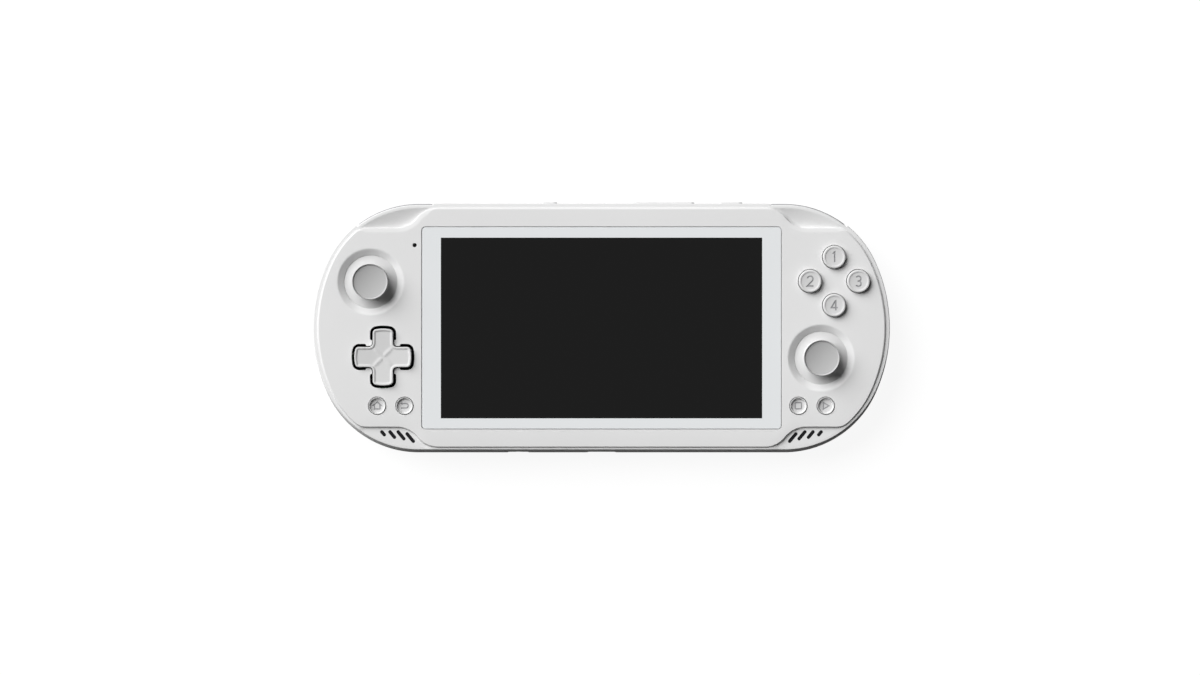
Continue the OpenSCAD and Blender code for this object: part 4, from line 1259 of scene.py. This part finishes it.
def shoulder_button(name, section, arm_low, arm_high):
    """A bar along the corner: its section is smoothed, and its outer face bends in at both ends.

    An arm runs from the bar to the ring around the pin.
    """
    line = resample(shoulder_run(), 120)
    length = np.concatenate([[0], np.cumsum(np.hypot(*np.diff(line[:, :2], axis=0).T))])
    near_end = np.linspace(0, 0.9, 10)
    elsewhere = np.linspace(1.2, length[-1] - 1.2, 90)
    fine = np.concatenate([near_end, elsewhere, length[-1] - near_end[::-1]])
    line = np.stack([np.interp(fine, length, column) for column in line.T], axis=1)
    ends = np.minimum(fine, fine[-1] - fine)
    from_end = 1 - np.clip(ends / end_run, 0, 1)
    draw_in = end_draw * (1 - np.sqrt(1 - from_end ** 2))
    sections = [(inset + draw_in * (inset < face_depth), height) for inset, height in section]
    points, faces = grid(rows_along(line, sections), False, True)
    first = [k * len(line) for k in range(len(section))]
    faces += [tuple(first), tuple(k + len(line) - 1 for k in reversed(first))]
    near, far = 0.9, 4.5
    inner, outer = -0.4, 1.2
    arm = np.array([[near, inner], [far, inner], [far, outer], [near, outer]]) + shoulder_pin
    arm = np.hstack([arm, np.zeros((4, 2))])
    lug = [[pin_hole, arm_low], [lug_radius, arm_low], [lug_radius, arm_high], [pin_hole, arm_high]]
    surfaces = [(points, faces), *block(arm, arm_low, arm_high), revolve(lug, shoulder_pin, 32, over=True)]
    if name.startswith("left"):
        surfaces = [mirrored(surface) for surface in surfaces]
    mesh = piece_mesh(name + "_bar", surfaces)
    add_piece(name + "_bar", mesh, "shoulder_grey", name, name)


def smooth_section(points, steps=5):
    """An open run of section points with every inner corner turned into a short curve."""
    points = np.asarray(points, float)
    middles = (points[:-1] + points[1:]) / 2
    curves = [bend(middles[i - 1], points[i], middles[i], steps) for i in range(1, len(points) - 1)]
    return np.vstack([points[:1], *curves, points[-1:]])


def bumper_section(low, high):
    """Section of an upper shoulder button: a flat face with rounded edges, as (inset, height)."""
    depth = 3.6
    return smooth_section([[depth, low], [0.5, low], [0.1, low + 0.4], [0, low + 1.5], [0, high - 1.2],
                           [0.15, high - 0.4], [0.6, high], [depth, high]])


def trigger_section(low, high):
    """Section of a lower shoulder button: its face leans in towards the back, as (inset, height)."""
    depth = 5.0
    return smooth_section([[depth, low + 1], [2.6, low], [1.6, low + 0.3], [0.7, low + 1.3], [0.2, high - 1],
                           [0.25, high - 0.3], [0.6, high], [depth, high]])


trigger_arm = 1.65
for side in ("left", "right"):
    low, high = (corner[2] for corner in node_box(side + "_bumper"))
    shoulder_button(side + "_bumper", bumper_section(low, high), low, high)
    low, high = (corner[2] for corner in node_box(side + "_trigger"))
    shoulder_button(side + "_trigger", trigger_section(low, high), high - trigger_arm, high)


def edge_button(name):
    """A pill that stands out of the long edge, with a rounded face and a flange behind the wall."""
    low, high = node_box(name)
    middle = (low + high) / 2
    length, _, width = high - low - 2 * edge_flange
    line = moved(rounded_rectangle(length, width, width / 2 - 0.01, 6), (middle[0], middle[2]))
    back, face = low[1], high[1]
    step = back + 0.8
    rounding = 0.35
    flat_inset = 0.5
    flange = [[-edge_flange, back], [-edge_flange, step], [0, step]]
    section = np.vstack([flange, quarter_round(rounding, rounding, face, 6), [[flat_inset, face]]])
    surfaces = [sweep(line, section), fill(back, inset_line(line, -edge_flange)),
                fill(face, inset_line(line, flat_inset))]
    mesh = piece_mesh(name + "_pill", [turned_to_edge(surface) for surface in surfaces])
    add_piece(name + "_pill", mesh, "control_white", name, name)


for name in edge_names:
    edge_button(name)


# Camera, light and floor

def camera():
    """A long lens straight above the console; the picture's middle and width are read from the photograph."""
    distance = 1500.0
    seen_width = 413.16
    middle = np.array([-0.52, -3.27, 14.5])
    data = bpy.data.cameras.new("camera")
    data.sensor_width = 36
    data.lens = data.sensor_width * distance / seen_width
    data.clip_end = 10
    view = bpy.data.objects.new("camera", data)
    view.location = (middle + [0, 0, distance]) / metre
    bpy.context.scene.collection.objects.link(view)
    bpy.context.scene.camera = view


def far_lamp(name, azimuth, elevation, width, share):
    """A far lamp: its direction, height and width in degrees, and its share of the light on a level face."""
    azimuth = math.radians(azimuth)
    elevation = math.radians(elevation)
    data = bpy.data.lights.new(name, "SUN")
    data.angle = math.radians(width)
    data.energy = share * math.pi / math.sin(elevation)
    lamp = bpy.data.objects.new(name, data)
    lamp.rotation_euler = (math.pi / 2 - elevation, 0, azimuth + math.pi / 2)
    bpy.context.scene.collection.objects.link(lamp)


def seen_directly(shade):
    """1 for rays from the camera, mirrors or glass, and 0 for light that falls on surfaces."""
    path = shade.add("ShaderNodeLightPath", output="Is Camera Ray")
    node = path.socket.node
    mirrors = Shade(shade.tree, node.outputs["Is Glossy Ray"])
    glass = Shade(shade.tree, node.outputs["Is Transmission Ray"])
    return path.calculate("MAXIMUM", path.calculate("MAXIMUM", path, mirrors), glass)


def studio_world():
    """White where it is seen, and a weak even light on surfaces."""
    world = bpy.data.worlds.new("studio")
    world.use_nodes = True
    world.node_tree.nodes.clear()
    shade = Shade(world.node_tree)
    even_light = 0.04
    strength = even_light + (1 - even_light) * seen_directly(shade)
    light = shade.add("ShaderNodeBackground", {"Color": (1, 1, 1, 1), "Strength": strength})
    output = world.node_tree.nodes.new("ShaderNodeOutputWorld")
    world.node_tree.links.new(light.socket, output.inputs["Surface"])
    bpy.context.scene.world = world


def floor():
    """A wide pale sheet that is white where it is seen and keeps a faint shadow."""
    reach = 3.0
    floor_z = -0.0003
    brightness = 0.92
    mesh = bpy.data.meshes.new("floor")
    corners = [(-reach, -reach), (reach, -reach), (reach, reach), (-reach, reach)]
    mesh.from_pydata([(x, y, floor_z) for x, y in corners], [], [(0, 1, 2, 3)])
    shade = new_material("floor")
    strength = brightness * seen_directly(shade)
    glow = shade.add("ShaderNodeEmission", {"Color": (1, 1, 1, 1), "Strength": strength})
    pale = shade.add("ShaderNodeBsdfDiffuse", {"Color": (0.1, 0.1, 0.1, 1)})
    faint = shade.add("ShaderNodeBsdfDiffuse", {"Color": (0.12, 0.12, 0.12, 1)})
    seen = shade.add("ShaderNodeAddShader", {0: glow, 1: faint})
    close_material(shade, shade.add("ShaderNodeMixShader", {0: seen_directly(shade), 1: pale, 2: seen}))
    mesh.materials.append(finishes["floor"])
    sheet = bpy.data.objects.new("floor", mesh)
    bpy.context.scene.collection.objects.link(sheet)


camera()
far_lamp("key_lamp", azimuth=140, elevation=37, width=56, share=0.96)
studio_world()
floor()

# Finishes of the CAD nodes
for part in frame["record"]["subparts"]:
    mesh = frame["nodes"][part["node"]].data
    mesh.materials.clear()
    mesh.materials.append(finishes[part["material_slot"]])

bpy.context.scene.view_settings.view_transform = "Standard"
